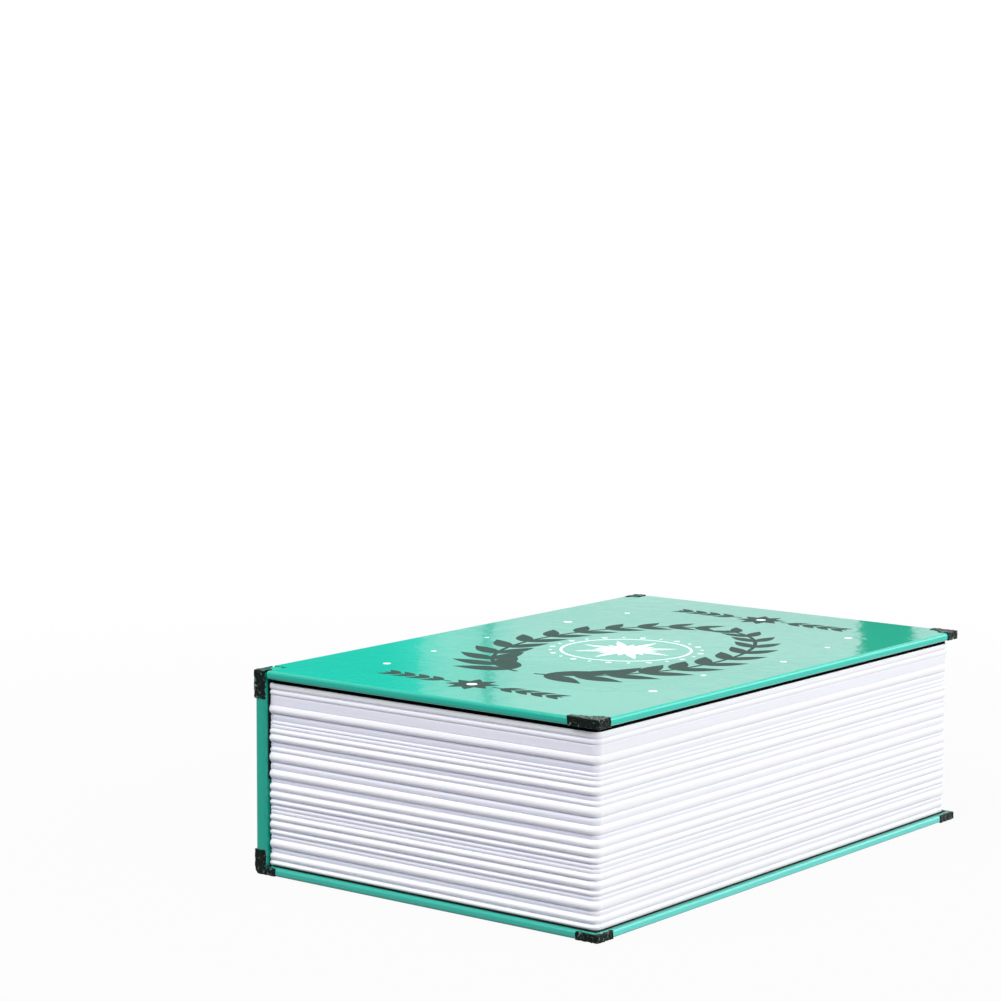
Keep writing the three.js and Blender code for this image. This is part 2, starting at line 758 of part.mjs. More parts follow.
// The dials on their axle. Each has ten flats for the numbers, one of them level in the
// window, and a notched code disc.
function buildDials() {
  const flatTurn = Math.PI / dialFaces;
  piece("dial_axle", "zinc",
    bar("x", axleRadius, dialRoomLeft - axleSeat, dialRoomRight + axleSeat, [0, dialZ]), lock);
  for (let index = 0; index < dialCount; index++) {
    const middle = dialX(index);
    const drumEnd = middle + dialWidth / 2;
    const drum = bar("x", dialRadius, middle - dialWidth / 2, drumEnd, [0, dialZ],
      dialFaces, flatTurn);
    const disc = bar("x", discRadius, drumEnd - glueLine, drumEnd + discThickness, [0, dialZ]);
    const notch = block(
      [drumEnd, discRadius - notchDepth, dialZ - notchWidth / 2],
      [drumEnd + discThickness + overrun, discRadius + overrun, dialZ + notchWidth / 2],
    );
    const bore = bar("x", axleRadius + axlePlay, middle - dialWidth, middle + dialWidth,
      [0, dialZ]);
    piece(`dial_${index + 1}`, "plastic", cut(join(drum, disc), notch, bore), lock);
  }
  // The detent spring is a strip with a finger on each dial
  const half = faceHeight / 2 - housingSideInset - housingWall;
  const fingers = Array.from({ length: dialCount }, (_, index) =>
    block(
      [dialX(index) - springFinger / 2, -half + springSheet, dialZ - springWidth / 2],
      [dialX(index) + springFinger / 2, -dialRadius - springGap, dialZ - springWidth / 2 + springSheet],
    ),
  );
  const strip = block(
    [dialX(0) - springFinger, -half + glueLine, dialZ - springWidth / 2],
    [dialX(dialCount - 1) + springFinger, -half + glueLine + springSheet, dialZ + springWidth / 2],
  );
  piece("detent_spring", "zinc", join(strip, ...fingers), lock);
}

// The bar that the code discs block, with a foot beside the spindle's collar.
function buildLockingBar() {
  const strip = block(
    [dialRoomLeft + dialRoomSide, barFromAxle, barZ],
    [barX + barSheet, barFromAxle + barSheet, barZ + barHeight],
  );
  const foot = block(
    [barX, collarNotch - collarRadius + runningGap, barZ],
    [barX + barSheet, barFromAxle + barSheet, barZ + barHeight],
  );
  const fingers = Array.from({ length: dialCount }, (_, index) => {
    const start = dialX(index) + fingerStart;
    return block(
      [start, barFromAxle - fingerReach, dialZ - notchWidth / 2 + runningGap],
      [start + fingerSheet, barFromAxle + glueLine, dialZ + notchWidth / 2 - runningGap],
    );
  });
  piece("locking_bar", "zinc", join(strip, foot, ...fingers), lock);
}

// The knurled knob and its spindle, the latch arm and the nut that holds it.
function buildKnobAndLatch() {
  const base = -knobWellDepth + knobSeat;
  const outline = new THREE.Shape();
  for (let tooth = 0; tooth < 2 * knobTeeth; tooth++) {
    const angle = (tooth / knobTeeth) * Math.PI;
    const radius = knobRadius - (tooth % 2) * toothDepth;
    const point = [knobX + radius * Math.cos(angle), radius * Math.sin(angle)];
    if (tooth === 0) outline.moveTo(...point);
    else outline.lineTo(...point);
  }
  const dish = bar("z", knobDishRadius, knobHeight - knobDishDepth, knobHeight + overrun,
    [knobX, 0], 2 * roundSides);
  const socket = bar("z", spindleRadius + glueLine, base - overrun, base + spindleGrip + glueLine,
    [knobX, 0]);
  piece("knob", "plastic", cut(prism(outline, base, knobHeight), dish, socket), lock);

  const shoulder = housingBottom - runningGap;
  const shaft = bar("z", spindleRadius, shoulder, base + spindleGrip, [knobX, 0]);
  const collar = bar("z", collarRadius, barZ, barZ + collarHeight, [knobX, 0]);
  const flat = block(
    [knobX - collarRadius - overrun, -collarRadius, barZ - overrun],
    [knobX - collarRadius + collarNotch, collarRadius, barZ + collarHeight + overrun],
  );
  const tailEnd = latchTop - latchSheet - glueLine - nutHeight;
  const tail = bar("z", tailRadius, tailEnd, shoulder + glueLine, [knobX, 0]);
  piece("spindle", "zinc", join(cut(collar, flat), shaft, tail), lock);

  const tailBore = bar("z", tailRadius + glueLine, tailEnd - overrun, shoulder, [knobX, 0]);
  const armBlock = block(
    [knobX - latchWidth / 2, 0, latchTop - latchSheet],
    [knobX + latchWidth / 2, latchLength, latchTop],
  );
  const armHub = bar("z", latchWidth / 2, latchTop - latchSheet, latchTop, [knobX, 0]);
  piece("latch_arm", "zinc", cut(join(armBlock, armHub), tailBore), lock);
  const nutTop = latchTop - latchSheet - glueLine;
  const nut = bar("z", nutRadius, nutTop - nutHeight, nutTop, [knobX, 0], nutSides);
  piece("latch_nut", "zinc", cut(nut, tailBore), lock);
}

function buildLockScrews() {
  const seat = -faceThickness - glueLine - sheet - glueLine;
  screwPlaces.forEach(([x, y], index) => {
    const shaft = bar("z", screwRadius, seat - screwHead, -faceThickness + screwBite - glueLine,
      [x, y], screwSides);
    const head = bar("z", screwHeadRadius, seat - screwHead, seat, [x, y], screwSides);
    piece(`lock_screw_${index + 1}`, "zinc", join(shaft, head), lock);
  });
}

buildFrontCover();
buildBackCover();
buildSpine();
buildPageBlock();
buildTray();
buildLid();
buildHinge();
buildLockFace();
buildLockHousing();
buildDials();
buildLockingBar();
buildKnobAndLatch();
buildLockScrews();

export default book;
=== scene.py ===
import json
import math

import bmesh
import bpy
from mathutils import Matrix, Vector, noise
from mathutils.geometry import delaunay_2d_cdt


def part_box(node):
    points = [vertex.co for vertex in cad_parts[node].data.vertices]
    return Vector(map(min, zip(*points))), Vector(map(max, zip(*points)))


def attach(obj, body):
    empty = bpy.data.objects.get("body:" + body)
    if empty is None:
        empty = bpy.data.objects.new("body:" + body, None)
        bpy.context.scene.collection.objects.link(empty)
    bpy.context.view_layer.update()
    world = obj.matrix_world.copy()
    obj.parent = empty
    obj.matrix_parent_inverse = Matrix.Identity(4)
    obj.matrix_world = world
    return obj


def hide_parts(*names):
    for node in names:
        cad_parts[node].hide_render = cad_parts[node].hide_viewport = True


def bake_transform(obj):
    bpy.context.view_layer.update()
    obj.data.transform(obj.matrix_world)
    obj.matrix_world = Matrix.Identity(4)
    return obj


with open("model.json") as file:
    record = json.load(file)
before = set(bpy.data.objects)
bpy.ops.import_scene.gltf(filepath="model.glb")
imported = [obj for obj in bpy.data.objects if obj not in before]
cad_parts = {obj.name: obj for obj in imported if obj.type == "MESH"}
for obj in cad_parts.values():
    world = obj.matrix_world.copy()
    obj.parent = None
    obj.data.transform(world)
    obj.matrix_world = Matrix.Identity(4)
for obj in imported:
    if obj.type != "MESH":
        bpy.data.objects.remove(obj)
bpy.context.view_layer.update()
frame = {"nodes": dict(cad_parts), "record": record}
print("frame loaded,", len(frame["nodes"]), "nodes")

mm = 0.001
collection = bpy.context.scene.collection


# colours and nodes

def toLinear(hexColour):
    channels = [int(hexColour[i:i + 2], 16) / 255 for i in (1, 3, 5)]
    linear = [c / 12.92 if c <= 0.04045 else ((c + 0.055) / 1.055) ** 2.4 for c in channels]
    return (*linear, 1)


def addNode(tree, kind, settings=None, links=None):
    node = tree.nodes.new(kind)
    for name, value in (settings or {}).items():
        if isinstance(name, int) or name in node.inputs:
            node.inputs[name].default_value = value
        else:
            setattr(node, name, value)
    for name, source in (links or {}).items():
        tree.links.new(source, node.inputs[name])
    return node


def startMaterial(name, **values):
    material = bpy.data.materials.new(name)
    material.use_nodes = True
    tree = material.node_tree
    shader = tree.nodes["Principled BSDF"]
    for socket, value in values.items():
        shader.inputs[socket.replace("_", " ")].default_value = value
    coords = addNode(tree, "ShaderNodeTexCoord")
    return material, tree, shader, coords.outputs["Object"]


def cloudedColour(tree, place, base, shade, size, detail):
    # a colour that drifts from base to shade in clouds of this size in mm
    cloud = addNode(tree, "ShaderNodeTexNoise", {"Scale": 1 / (size * mm), "Detail": detail},
                    {"Vector": place})
    colour = addNode(tree, "ShaderNodeMix",
                     {"data_type": "RGBA", 6: toLinear(base), 7: toLinear(shade)},
                     {0: cloud.outputs["Fac"]})
    return colour.outputs[2], cloud.outputs["Fac"]


def connect(tree, shader, **sources):
    for socket, source in sources.items():
        tree.links.new(source, shader.inputs[socket.replace("_", " ")])


def laminatedPrint(name, base, shade, litEdgeColour):
    # offset-printed paper under a gloss film: deep even colour, sharp highlights that
    # waver a little where the board under the film isn't quite flat; the edges facing the fore side,
    # and less those facing the tail and head, get a paler colour as a painted highlight
    look = {
        "cloud": 38, "roughLow": 0.03, "roughHigh": 0.06,
        "foreFrom": 0.2, "foreTo": 0.9, "sideShare": 0.25,
        # the board's waves, the film's ripples and the paper's fibres: size and depth in mm
        "reliefs": ((26, 0.06), (5.5, 0.03), (0.9, 0.0012)),
    }
    material, tree, shader, place = startMaterial(name, IOR=1.47)
    ink, _ = cloudedColour(tree, place, base, shade, look["cloud"], 3.0)
    coords = addNode(tree, "ShaderNodeTexCoord")
    facing = addNode(tree, "ShaderNodeSeparateXYZ", {}, {"Vector": coords.outputs["Normal"]})
    fore = addNode(tree, "ShaderNodeMapRange",
                   {"From Min": look["foreFrom"], "From Max": look["foreTo"]},
                   {"Value": facing.outputs["X"]})
    side = addNode(tree, "ShaderNodeMath", {"operation": "ABSOLUTE"}, {0: facing.outputs["Y"]})
    # painted highlight: the more an edge faces the fore side, or the tail and head, the more its ink is
    # mixed towards the paler edge colour
    paintedEdgeLight = addNode(tree, "ShaderNodeMath",
                      {"operation": "MULTIPLY_ADD", "use_clamp": True, 1: look["sideShare"]},
                      {0: side.outputs["Value"], 2: fore.outputs["Result"]})
    printed = addNode(tree, "ShaderNodeMix", {"data_type": "RGBA", 7: toLinear(litEdgeColour)},
                      {0: paintedEdgeLight.outputs["Value"], 6: ink})
    relief = {}
    for size, depth in look["reliefs"]:
        height = addNode(tree, "ShaderNodeTexNoise", {"Scale": 1 / (size * mm), "Detail": 2.0},
                         {"Vector": place})
        bump = addNode(tree, "ShaderNodeBump", {"Strength": 1.0, "Distance": depth * mm},
                       {"Height": height.outputs["Fac"], **relief})
        relief = {"Normal": bump.outputs["Normal"]}
    rough = addNode(tree, "ShaderNodeMapRange",
                    {"To Min": look["roughLow"], "To Max": look["roughHigh"]},
                    {"Value": height.outputs["Fac"]})
    connect(tree, shader, Base_Color=printed.outputs[2], Roughness=rough.outputs["Result"], **relief)
    return material


def leatherettePaper():
    # embossed black paper, varnished and pressed round the corner: near black and glossy,
    # finely pebbled, with pale specks scattered by a noise as painted glints
    look = {"pebble": 0.8, "pebbleDepth": 0.07, "cloud": 1.6, "crack": 1.1, "crackFrom": 0.6,
            "crackTo": 0.69, "roughLow": 0.08, "roughHigh": 0.22}
    material, tree, shader, place = startMaterial("leatherettePaper", IOR=1.22)
    varnish, cloud = cloudedColour(tree, place, "#020705", "#0d1f19", look["cloud"], 4.0)
    # painted glints: where a fine noise passes a threshold the colour turns pale, standing in for
    # highlights on the crumples
    crack = addNode(tree, "ShaderNodeTexNoise",
                    {"Scale": 1 / (look["crack"] * mm), "Detail": 5.0, "Distortion": 0.8},
                    {"Vector": place})
    paintedGlint = addNode(tree, "ShaderNodeMapRange",
                    {"From Min": look["crackFrom"], "From Max": look["crackTo"]},
                    {"Value": crack.outputs["Fac"]})
    varnishWithGlints = addNode(tree, "ShaderNodeMix", {"data_type": "RGBA", 7: toLinear("#6d8a80")},
                   {0: paintedGlint.outputs["Result"], 6: varnish})
    rough = addNode(tree, "ShaderNodeMapRange",
                    {"To Min": look["roughLow"], "To Max": look["roughHigh"]}, {"Value": cloud})
    pebble = addNode(tree, "ShaderNodeTexVoronoi", {"Scale": 1 / (look["pebble"] * mm)},
                     {"Vector": place})
    bump = addNode(tree, "ShaderNodeBump", {"Strength": 0.9, "Distance": look["pebbleDepth"] * mm},
                   {"Height": pebble.outputs["Distance"]})
    connect(tree, shader, Base_Color=varnishWithGlints.outputs[2], Roughness=rough.outputs["Result"],
            Normal=bump.outputs["Normal"])
    return material


def mouldedPages():
    # white polystyrene, injection moulded: slightly see-through, satin, with a cool painted shade
    # down in the grooves and faint drag lines along the ribs
    look = {"dragAlong": 30, "dragUp": 0.35, "dragDepth": 0.05, "lightDepth": 0.6}
    material, tree, shader, place = startMaterial(
        "mouldedPages", IOR=1.55, Roughness=0.38, Subsurface_Weight=0.12,
        Subsurface_Scale=look["lightDepth"] * mm)
    groove = addNode(tree, "ShaderNodeAttribute", {"attribute_name": "groove"})
    # painted shade: the deeper a place lies in a groove, the more its colour is mixed towards a cool lilac
    # grey
    colour = addNode(tree, "ShaderNodeMix",
                     {"data_type": "RGBA", 6: toLinear("#f4f3f5"), 7: toLinear("#d9dbeb")},
                     {0: groove.outputs["Fac"]})
    along, up = 1 / (look["dragAlong"] * mm), 1 / (look["dragUp"] * mm)
    drag = addNode(tree, "ShaderNodeMapping", {"Scale": (along, along, up)}, {"Vector": place})
    lines = addNode(tree, "ShaderNodeTexNoise", {"Scale": 1.0, "Detail": 2.0},
                    {"Vector": drag.outputs["Vector"]})
    bump = addNode(tree, "ShaderNodeBump", {"Strength": 0.6, "Distance": look["dragDepth"] * mm},
                   {"Height": lines.outputs["Fac"]})
    connect(tree, shader, Base_Color=colour.outputs[2], Normal=bump.outputs["Normal"])
    return material


def powderCoatedSteel():
    # textured powder coat, baked: charcoal, satin, with a leathery orange peel of about 1 mm
    look = {"peel": 1.1, "grit": 0.5, "depth": 0.12, "cloud": 24, "roughLow": 0.38, "roughHigh": 0.55}
    material, tree, shader, place = startMaterial("powderCoatedSteel", IOR=1.5)
    charcoal, _ = cloudedColour(tree, place, "#353a42", "#464c55", look["cloud"], 2.0)
    peel = addNode(tree, "ShaderNodeTexVoronoi",
                   {"Scale": 1 / (look["peel"] * mm), "feature": "SMOOTH_F1"}, {"Vector": place})
    grit = addNode(tree, "ShaderNodeTexNoise", {"Scale": 1 / (look["grit"] * mm), "Detail": 3.0},
                   {"Vector": place})
    height = addNode(tree, "ShaderNodeMath", {"operation": "ADD"},
                     {0: peel.outputs["Distance"], 1: grit.outputs["Fac"]})
    bump = addNode(tree, "ShaderNodeBump", {"Strength": 0.8, "Distance": look["depth"] * mm},
                   {"Height": height.outputs["Value"]})
    rough = addNode(tree, "ShaderNodeMapRange",
                    {"To Min": look["roughLow"], "To Max": look["roughHigh"]},
                    {"Value": grit.outputs["Fac"]})
    connect(tree, shader, Base_Color=charcoal, Roughness=rough.outputs["Result"],
            Normal=bump.outputs["Normal"])
    return material


def mouldedAbs(name, base, roughLow, roughHigh):
    # black ABS, injection moulded against a fine spark-eroded tool: even, dull, soft sheen
    look = {"grain": 0.3, "grainDepth": 0.03, "cloud": 9}
    material, tree, shader, place = startMaterial(name, IOR=1.52)
    black, _ = cloudedColour(tree, place, base, "#24262a", look["cloud"], 2.0)
    grain = addNode(tree, "ShaderNodeTexNoise", {"Scale": 1 / (look["grain"] * mm), "Detail": 4.0},
                    {"Vector": place})
    bump = addNode(tree, "ShaderNodeBump", {"Strength": 0.5, "Distance": look["grainDepth"] * mm},
                   {"Height": grain.outputs["Fac"]})
    rough = addNode(tree, "ShaderNodeMapRange", {"To Min": roughLow, "To Max": roughHigh},
                    {"Value": grain.outputs["Fac"]})
    connect(tree, shader, Base_Color=black, Roughness=rough.outputs["Result"],
            Normal=bump.outputs["Normal"])
    return material


def platedMetal(name, base, shade, roughLow, roughHigh):
    # plated sheet or wire: bright metal with a slight cloud in its polish
    look = {"cloud": 3}
    material, tree, shader, place = startMaterial(name, Metallic=1.0)
    plate, cloud = cloudedColour(tree, place, base, shade, look["cloud"], 4.0)
    rough = addNode(tree, "ShaderNodeMapRange", {"To Min": roughLow, "To Max": roughHigh},
                    {"Value": cloud})
    connect(tree, shader, Base_Color=plate, Roughness=rough.outputs["Result"])
    return material


def mattSheet(name, base, shade, fibre, index):
    # uncoated paper, paint or foam: matt, with soft clouds and a little tooth; the index
    # says how much of a dull sheen it has
    look = {"rough": 0.85, "tooth": 0.03}
    material, tree, shader, place = startMaterial(name, Roughness=look["rough"], IOR=index)
    colour, cloud = cloudedColour(tree, place, base, shade, fibre, 5.0)
    bump = addNode(tree, "ShaderNodeBump", {"Strength": 0.4, "Distance": look["tooth"] * mm},
                   {"Height": cloud})
    connect(tree, shader, Base_Color=colour, Normal=bump.outputs["Normal"])
    return material


def screenInk(name, base, shade):
    # thick screen-printed ink on top of the film: opaque, flat and duller than the film round it
    look = {"cloud": 7, "roughLow": 0.46, "roughHigh": 0.58}
    material, tree, shader, place = startMaterial(name, IOR=1.28)
    ink, cloud = cloudedColour(tree, place, base, shade, look["cloud"], 3.0)
    rough = addNode(tree, "ShaderNodeMapRange",
                    {"To Min": look["roughLow"], "To Max": look["roughHigh"]}, {"Value": cloud})
    connect(tree, shader, Base_Color=ink, Roughness=rough.outputs["Result"])
    return material


# the last colour of each print is the painted highlight on its fore, tail and head edges
frontPrint = laminatedPrint("frontPrint", "#0aa48d", "#099a84", "#10c7b2")
backPrint = laminatedPrint("backPrint", "#0aa48d", "#099a84", "#5dd9cc")
spinePrint = laminatedPrint("spinePrint", "#0aa48d", "#099a84", "#0aa48d")
darkInk = screenInk("darkInk", "#0a312a", "#082921")
whiteInk = screenInk("whiteInk", "#e6f3ef", "#dfede9")
cornerPaper = leatherettePaper()
pagePlastic = mouldedPages()
boxSteel = powderCoatedSteel()
lockAbs = mouldedAbs("lockAbs", "#15161a", 0.42, 0.6)
knobAbs = mouldedAbs("knobAbs", "#121316", 0.34, 0.5)
dialAbs = mouldedAbs("dialAbs", "#0e0f11", 0.25, 0.4)
zincPlate = platedMetal("zincPlate", "#b4b7ba", "#9a9da1", 0.24, 0.42)
giltBead = platedMetal("giltBead", "#e0c890", "#cbb070", 0.14, 0.28)
whitePaint = mattSheet("whitePaint", "#f2f2ee", "#e4e4e0", 1.5, 1.45)
liningPaper = mattSheet("liningPaper", "#121415", "#0b0d0e", 2.5, 1.35)
foamStrip = mattSheet("foamStrip", "#050607", "#030404", 0.7, 1.1)
print("materials made")


# mesh helpers

def addPiece(name, mesh, material, body, replaced=(), smoothAngle=40, flatFaces=False):
    mesh.materials.clear()
    mesh.materials.append(material)
    mesh.shade_smooth()
    mesh.set_sharp_from_angle(angle=math.radians(smoothAngle))
    if flatFaces:
        # keeps the shading of large flat faces flat right up to their rounded edges
        mesh = shownMesh(mesh, name, WEIGHTED_NORMAL={"mode": "FACE_AREA", "keep_sharp": True})
    piece = bpy.data.objects.new(name, mesh)
    collection.objects.link(piece)
    if replaced:
        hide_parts(*replaced)
    if body:
        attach(piece, body)
    return piece


def meshFrom(bm, name):
    bmesh.ops.recalc_face_normals(bm, faces=bm.faces)
    mesh = bpy.data.meshes.new(name)
    bm.to_mesh(mesh)
    bm.free()
    return mesh


def shownMesh(mesh, name, **modifiers):
    holder = bpy.data.objects.new(name, mesh)
    collection.objects.link(holder)
    for kind, settings in modifiers.items():
        modifier = holder.modifiers.new(kind, kind)
        for setting, value in settings.items():
            setattr(modifier, setting, value)
    graph = bpy.context.evaluated_depsgraph_get()
    made = bpy.data.meshes.new_from_object(holder.evaluated_get(graph))
    bpy.data.objects.remove(holder)
    return made


def roundedSlab(name, low, high, radius, bands):
    bm = bmesh.new()
    bmesh.ops.create_cube(bm, size=1)
    size = high - low
    for vert in bm.verts:
        vert.co = Vector([low[i] + (vert.co[i] + 0.5) * size[i] for i in range(3)])
    bmesh.ops.bevel(bm, geom=bm.edges[:], offset=radius, segments=bands, profile=0.5, affect="EDGES")
    return meshFrom(bm, name)


# how near points are made one, in mm, and in degrees which faces count as one and which
# edges are broken
softening = {"weld": 0.002, "flatWithin": 1, "sharpFrom": 32}


def softCopy(node, material, body, radius, bands=2, name=None):
    # the CAD piece with its edges broken, as a pressed, moulded or tumbled one has them
    bm = bmesh.new()
    bm.from_mesh(frame["nodes"][node].data)
    bmesh.ops.remove_doubles(bm, verts=bm.verts, dist=softening["weld"] * mm)
    flatWithin = math.radians(softening["flatWithin"])
    bmesh.ops.dissolve_limit(bm, angle_limit=flatWithin, verts=bm.verts, edges=bm.edges)
    mesh = meshFrom(bm, node)
    made = shownMesh(mesh, node, BEVEL={
        "width": radius * mm, "segments": bands, "limit_method": "ANGLE",
        "angle_limit": math.radians(softening["sharpFrom"]), "use_clamp_overlap": True,
        "miter_outer": "MITER_ARC"})
    return addPiece(name or node + "Soft", made, material, body, (node,), flatFaces=True)


# the case: boards in laminated paper

case = {"edgeRadius": 0.85, "edgeBands": 6, "liningProud": 0.04, "liningRadius": 0.05, "liningBands": 2}


def buildCase():
    for node, body, name, paper in (("front_wrap", "front_cover", "frontCase", frontPrint),
                                    ("back_wrap", "base", "backCase", backPrint),
                                    ("spine_wrap", "base", "spineCase", spinePrint)):
        low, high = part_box(node)
        board = node.replace("wrap", "board")
        slab = roundedSlab(name, low, high, case["edgeRadius"] * mm, case["edgeBands"])
        addPiece(name, slab, paper, body, (node, board), flatFaces=True)
    for node, body, shift in (("front_endpaper", "front_cover", -1), ("back_endpaper", "base", 1)):
        low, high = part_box(node)
        lift = Vector((0, 0, shift * case["liningProud"] * mm))
        sheet = roundedSlab(node, low + lift, high + lift, case["liningRadius"] * mm, case["liningBands"])
        addPiece(node.replace("_e", "E"), sheet, liningPaper, body, (node,), flatFaces=True)
    softCopy("joint_lining", liningPaper, "base", 0.04, name="jointLining")
    softCopy("frame_strip", foamStrip, "front_cover", 0.1, name="frameStrip")
    softCopy("shell_strip", foamStrip, "base", 0.08, name="shellStrip")
    softCopy("back_joint", spinePrint, "base", 0.05, name="backJoint")


buildCase()
print("case built")


# the flexible paper that joins the spine to the front cover

joint = {"thickness": 0.2, "ontoCover": 1.2, "aboveCover": 0.004, "steps": 40, "spread": 1.3,
         "roundOff": 0.4, "bendInset": 0.6}


def buildFrontJoint():
    low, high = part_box("front_joint")
    coverLow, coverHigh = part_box("front_wrap")
    top = coverHigh.z + joint["aboveCover"] * mm
    spineLow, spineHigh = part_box("spine_wrap")
    start, end = spineLow.x, coverLow.x + joint["ontoCover"] * mm
    bm = bmesh.new()
    rows = []
    for step in range(joint["steps"] + 1):
        x = start + (end - start) * (step / joint["steps"]) ** joint["spread"]
        fall = max(0, 1 - (x - start) / (joint["roundOff"] * mm))
        upper = top - joint["roundOff"] * mm * (1 - math.sqrt(1 - fall ** 2))
        if x < coverLow.x:
            lower = upper - joint["thickness"] * mm
        else:
            lower = top - 2 * joint["aboveCover"] * mm
        rows.append([bm.verts.new((x, y, z)) for y in (low.y, high.y) for z in (lower, upper)])
    for a, b in zip(rows, rows[1:]):
        for i, j in ((0, 1), (1, 3), (3, 2), (2, 0)):
            bm.faces.new((a[i], a[j], b[j], b[i]))
    bm.faces.new((rows[0][0], rows[0][1], rows[0][3], rows[0][2]))
    bm.faces.new((rows[-1][0], rows[-1][1], rows[-1][3], rows[-1][2]))
    piece = addPiece("frontJoint", meshFrom(bm, "frontJoint"), spinePrint, None,
                     ("front_joint",))
    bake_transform(piece)


buildFrontJoint()
print("joint built")


# the black corner papers

corners = {
    "reach": 7.8, "arm": 3.8, "biteSteps": 12, "grid": 0.14, "roundPasses": 9,
    # folds and nicks: their sizes, how sharp the folds are, how high all of it is, the share of
    # each in it, and how far the whole surface sinks first
    "fold": 1.7, "nick": 0.6, "foldPower": 3, "crumple": 0.27, "foldShare": 0.5, "nickShare": 0.16,
    "sinkShare": 0.55,
    "heelRadius": 1.5, "heelSteps": 6, "ontoBack": 1.9, "biteInset": 0.6, "biteDepth": 2,
    # papers that were laid on askew: how far they reach along the tail or head, and along
    # the fore edge
    "askew": {"corner_front_tail_fore": (10.3, 5.2), "corner_back_tail_fore": (7.2, 7.0),
              "corner_front_head_fore": (8.0, 5.6)},
}


def biteOutline(reachU, reachV):
    # a square on the corner with a round bite at its inner corner, in mm from the corner
    armU = min(corners["arm"], reachU / 2)
    armV = min(corners["arm"], reachV / 2)
    points = [(0, 0), (reachU, 0), (reachU, armV)]
    for step in range(1, corners["biteSteps"]):
        angle = step / corners["biteSteps"] * math.pi / 2
        points.append((reachU - (reachU - armU) * math.sin(angle),
                       reachV - (reachV - armV) * math.cos(angle)))
    return points + [(armU, reachV), (0, reachV)]


def heelCurve():
    # the rounded corner where the spine meets the back cover
    radius = corners["heelRadius"]
    steps = corners["heelSteps"]
    angles = [math.pi + math.pi / 2 * step / steps for step in range(steps + 1)]
    return [(radius + radius * math.cos(a), radius + radius * math.sin(a)) for a in angles]


def ridgeNoise(place, size):
    # sharp crests with soft valleys between them, like a fold in paper
    return 1 - 2 * abs(noise.noise(place / (size * mm)))


def crumpledPrism(name, outline, depth, toWorld, biter=None):
    # outline is in mm, depth gives the prism's two ends, and toWorld turns (u, v, w) to a place
    bm = bmesh.new()
    ends = [[bm.verts.new(toWorld(u, v, w)) for u, v in outline] for w in depth]
    for ring in ends:
        bm.faces.new(ring)
    for i in range(len(outline)):
        j = (i + 1) % len(outline)
        bm.faces.new((ends[0][i], ends[0][j], ends[1][j], ends[1][i]))
    steps = {"REMESH": {"mode": "VOXEL", "voxel_size": corners["grid"] * mm},
             "SMOOTH": {"factor": 0.5, "iterations": corners["roundPasses"]}}
    if biter:
        steps = {"BOOLEAN": {"operation": "DIFFERENCE", "object": biter, "solver": "EXACT"}, **steps}
    mesh = shownMesh(meshFrom(bm, name), name, **steps)
    low = Vector([min(v.co[i] for v in mesh.vertices) for i in range(3)])
    high = Vector([max(v.co[i] for v in mesh.vertices) for i in range(3)])
    normals = [v.normal.copy() for v in mesh.vertices]
    for vert, normal in zip(mesh.vertices, normals):
        fold = ridgeNoise(vert.co, corners["fold"]) ** corners["foldPower"]
        nick = ridgeNoise(vert.co + Vector((0.05, 0.02, 0.01)), corners["nick"])
        relief = corners["foldShare"] * fold + corners["nickShare"] * nick - corners["sinkShare"]
        moved = vert.co + normal * corners["crumple"] * mm * relief
        vert.co = Vector([min(max(moved[i], low[i]), high[i]) for i in range(3)])
    return mesh


def biteCutter(centre, radius, z0, z1):
    bm = bmesh.new()
    bmesh.ops.create_cone(bm, cap_ends=True, segments=48, radius1=radius, radius2=radius, depth=z1 - z0)
    bmesh.ops.translate(bm, verts=bm.verts, vec=(centre[0], centre[1], (z0 + z1) / 2))
    cutter = bpy.data.objects.new("biteCutter", meshFrom(bm, "biteCutter"))
    collection.objects.link(cutter)
    return cutter


def buildCorners():
    reach, arm = corners["reach"], corners["arm"]
    for node in frame["nodes"]:
        if not node.startswith("corner_"):
            continue
        low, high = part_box(node)
        tail = "tail" in node
        edgeY = low.y if tail else high.y
        inY = 1 if tail else -1
        name = "paper" + "".join(word.capitalize() for word in node.split("_"))
        body = "front_cover" if "front" in node else "base"
        if "spine_top" in node:
            drop = (high.z - low.z) / mm
            width = (high.x - low.x) / mm
            centre = (high.x + corners["biteInset"] * mm, edgeY + inY * reach * mm)
            cutter = biteCutter(centre, (reach - arm) * mm, high.z - corners["biteDepth"] * mm, high.z + mm)
            mesh = crumpledPrism(name, biteOutline(reach, drop), (0, width), lambda u, v, w: Vector(
                (low.x + w * mm, edgeY + inY * u * mm, high.z - v * mm)), cutter)
            bpy.data.objects.remove(cutter)
        elif "spine_low" in node:
            spine = (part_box("spine_wrap")[1].x - low.x) / mm
            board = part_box("back_wrap")[1].z / mm
            wide = (high.x - low.x) / mm + corners["ontoBack"]
            tall = (high.z - low.z) / mm
            outline = heelCurve() + [(wide, 0), (wide, board), (spine, board), (spine, tall), (0, tall)]
            mesh = crumpledPrism(name, outline, (0, reach), lambda u, v, w: Vector(
                (low.x + u * mm, edgeY + inY * w * mm, low.z + v * mm)))
        else:
            outline = biteOutline(*corners["askew"].get(node, (reach, reach)))
            mesh = crumpledPrism(name, outline, (low.z / mm, high.z / mm), lambda u, v, w: Vector(
                (high.x - u * mm, edgeY + inY * v * mm, w * mm)))
        addPiece(name, mesh, cornerPaper, body, (node,), 60)


buildCorners()
print("corner papers built")


# the page block: moulded ribs that read as page edges

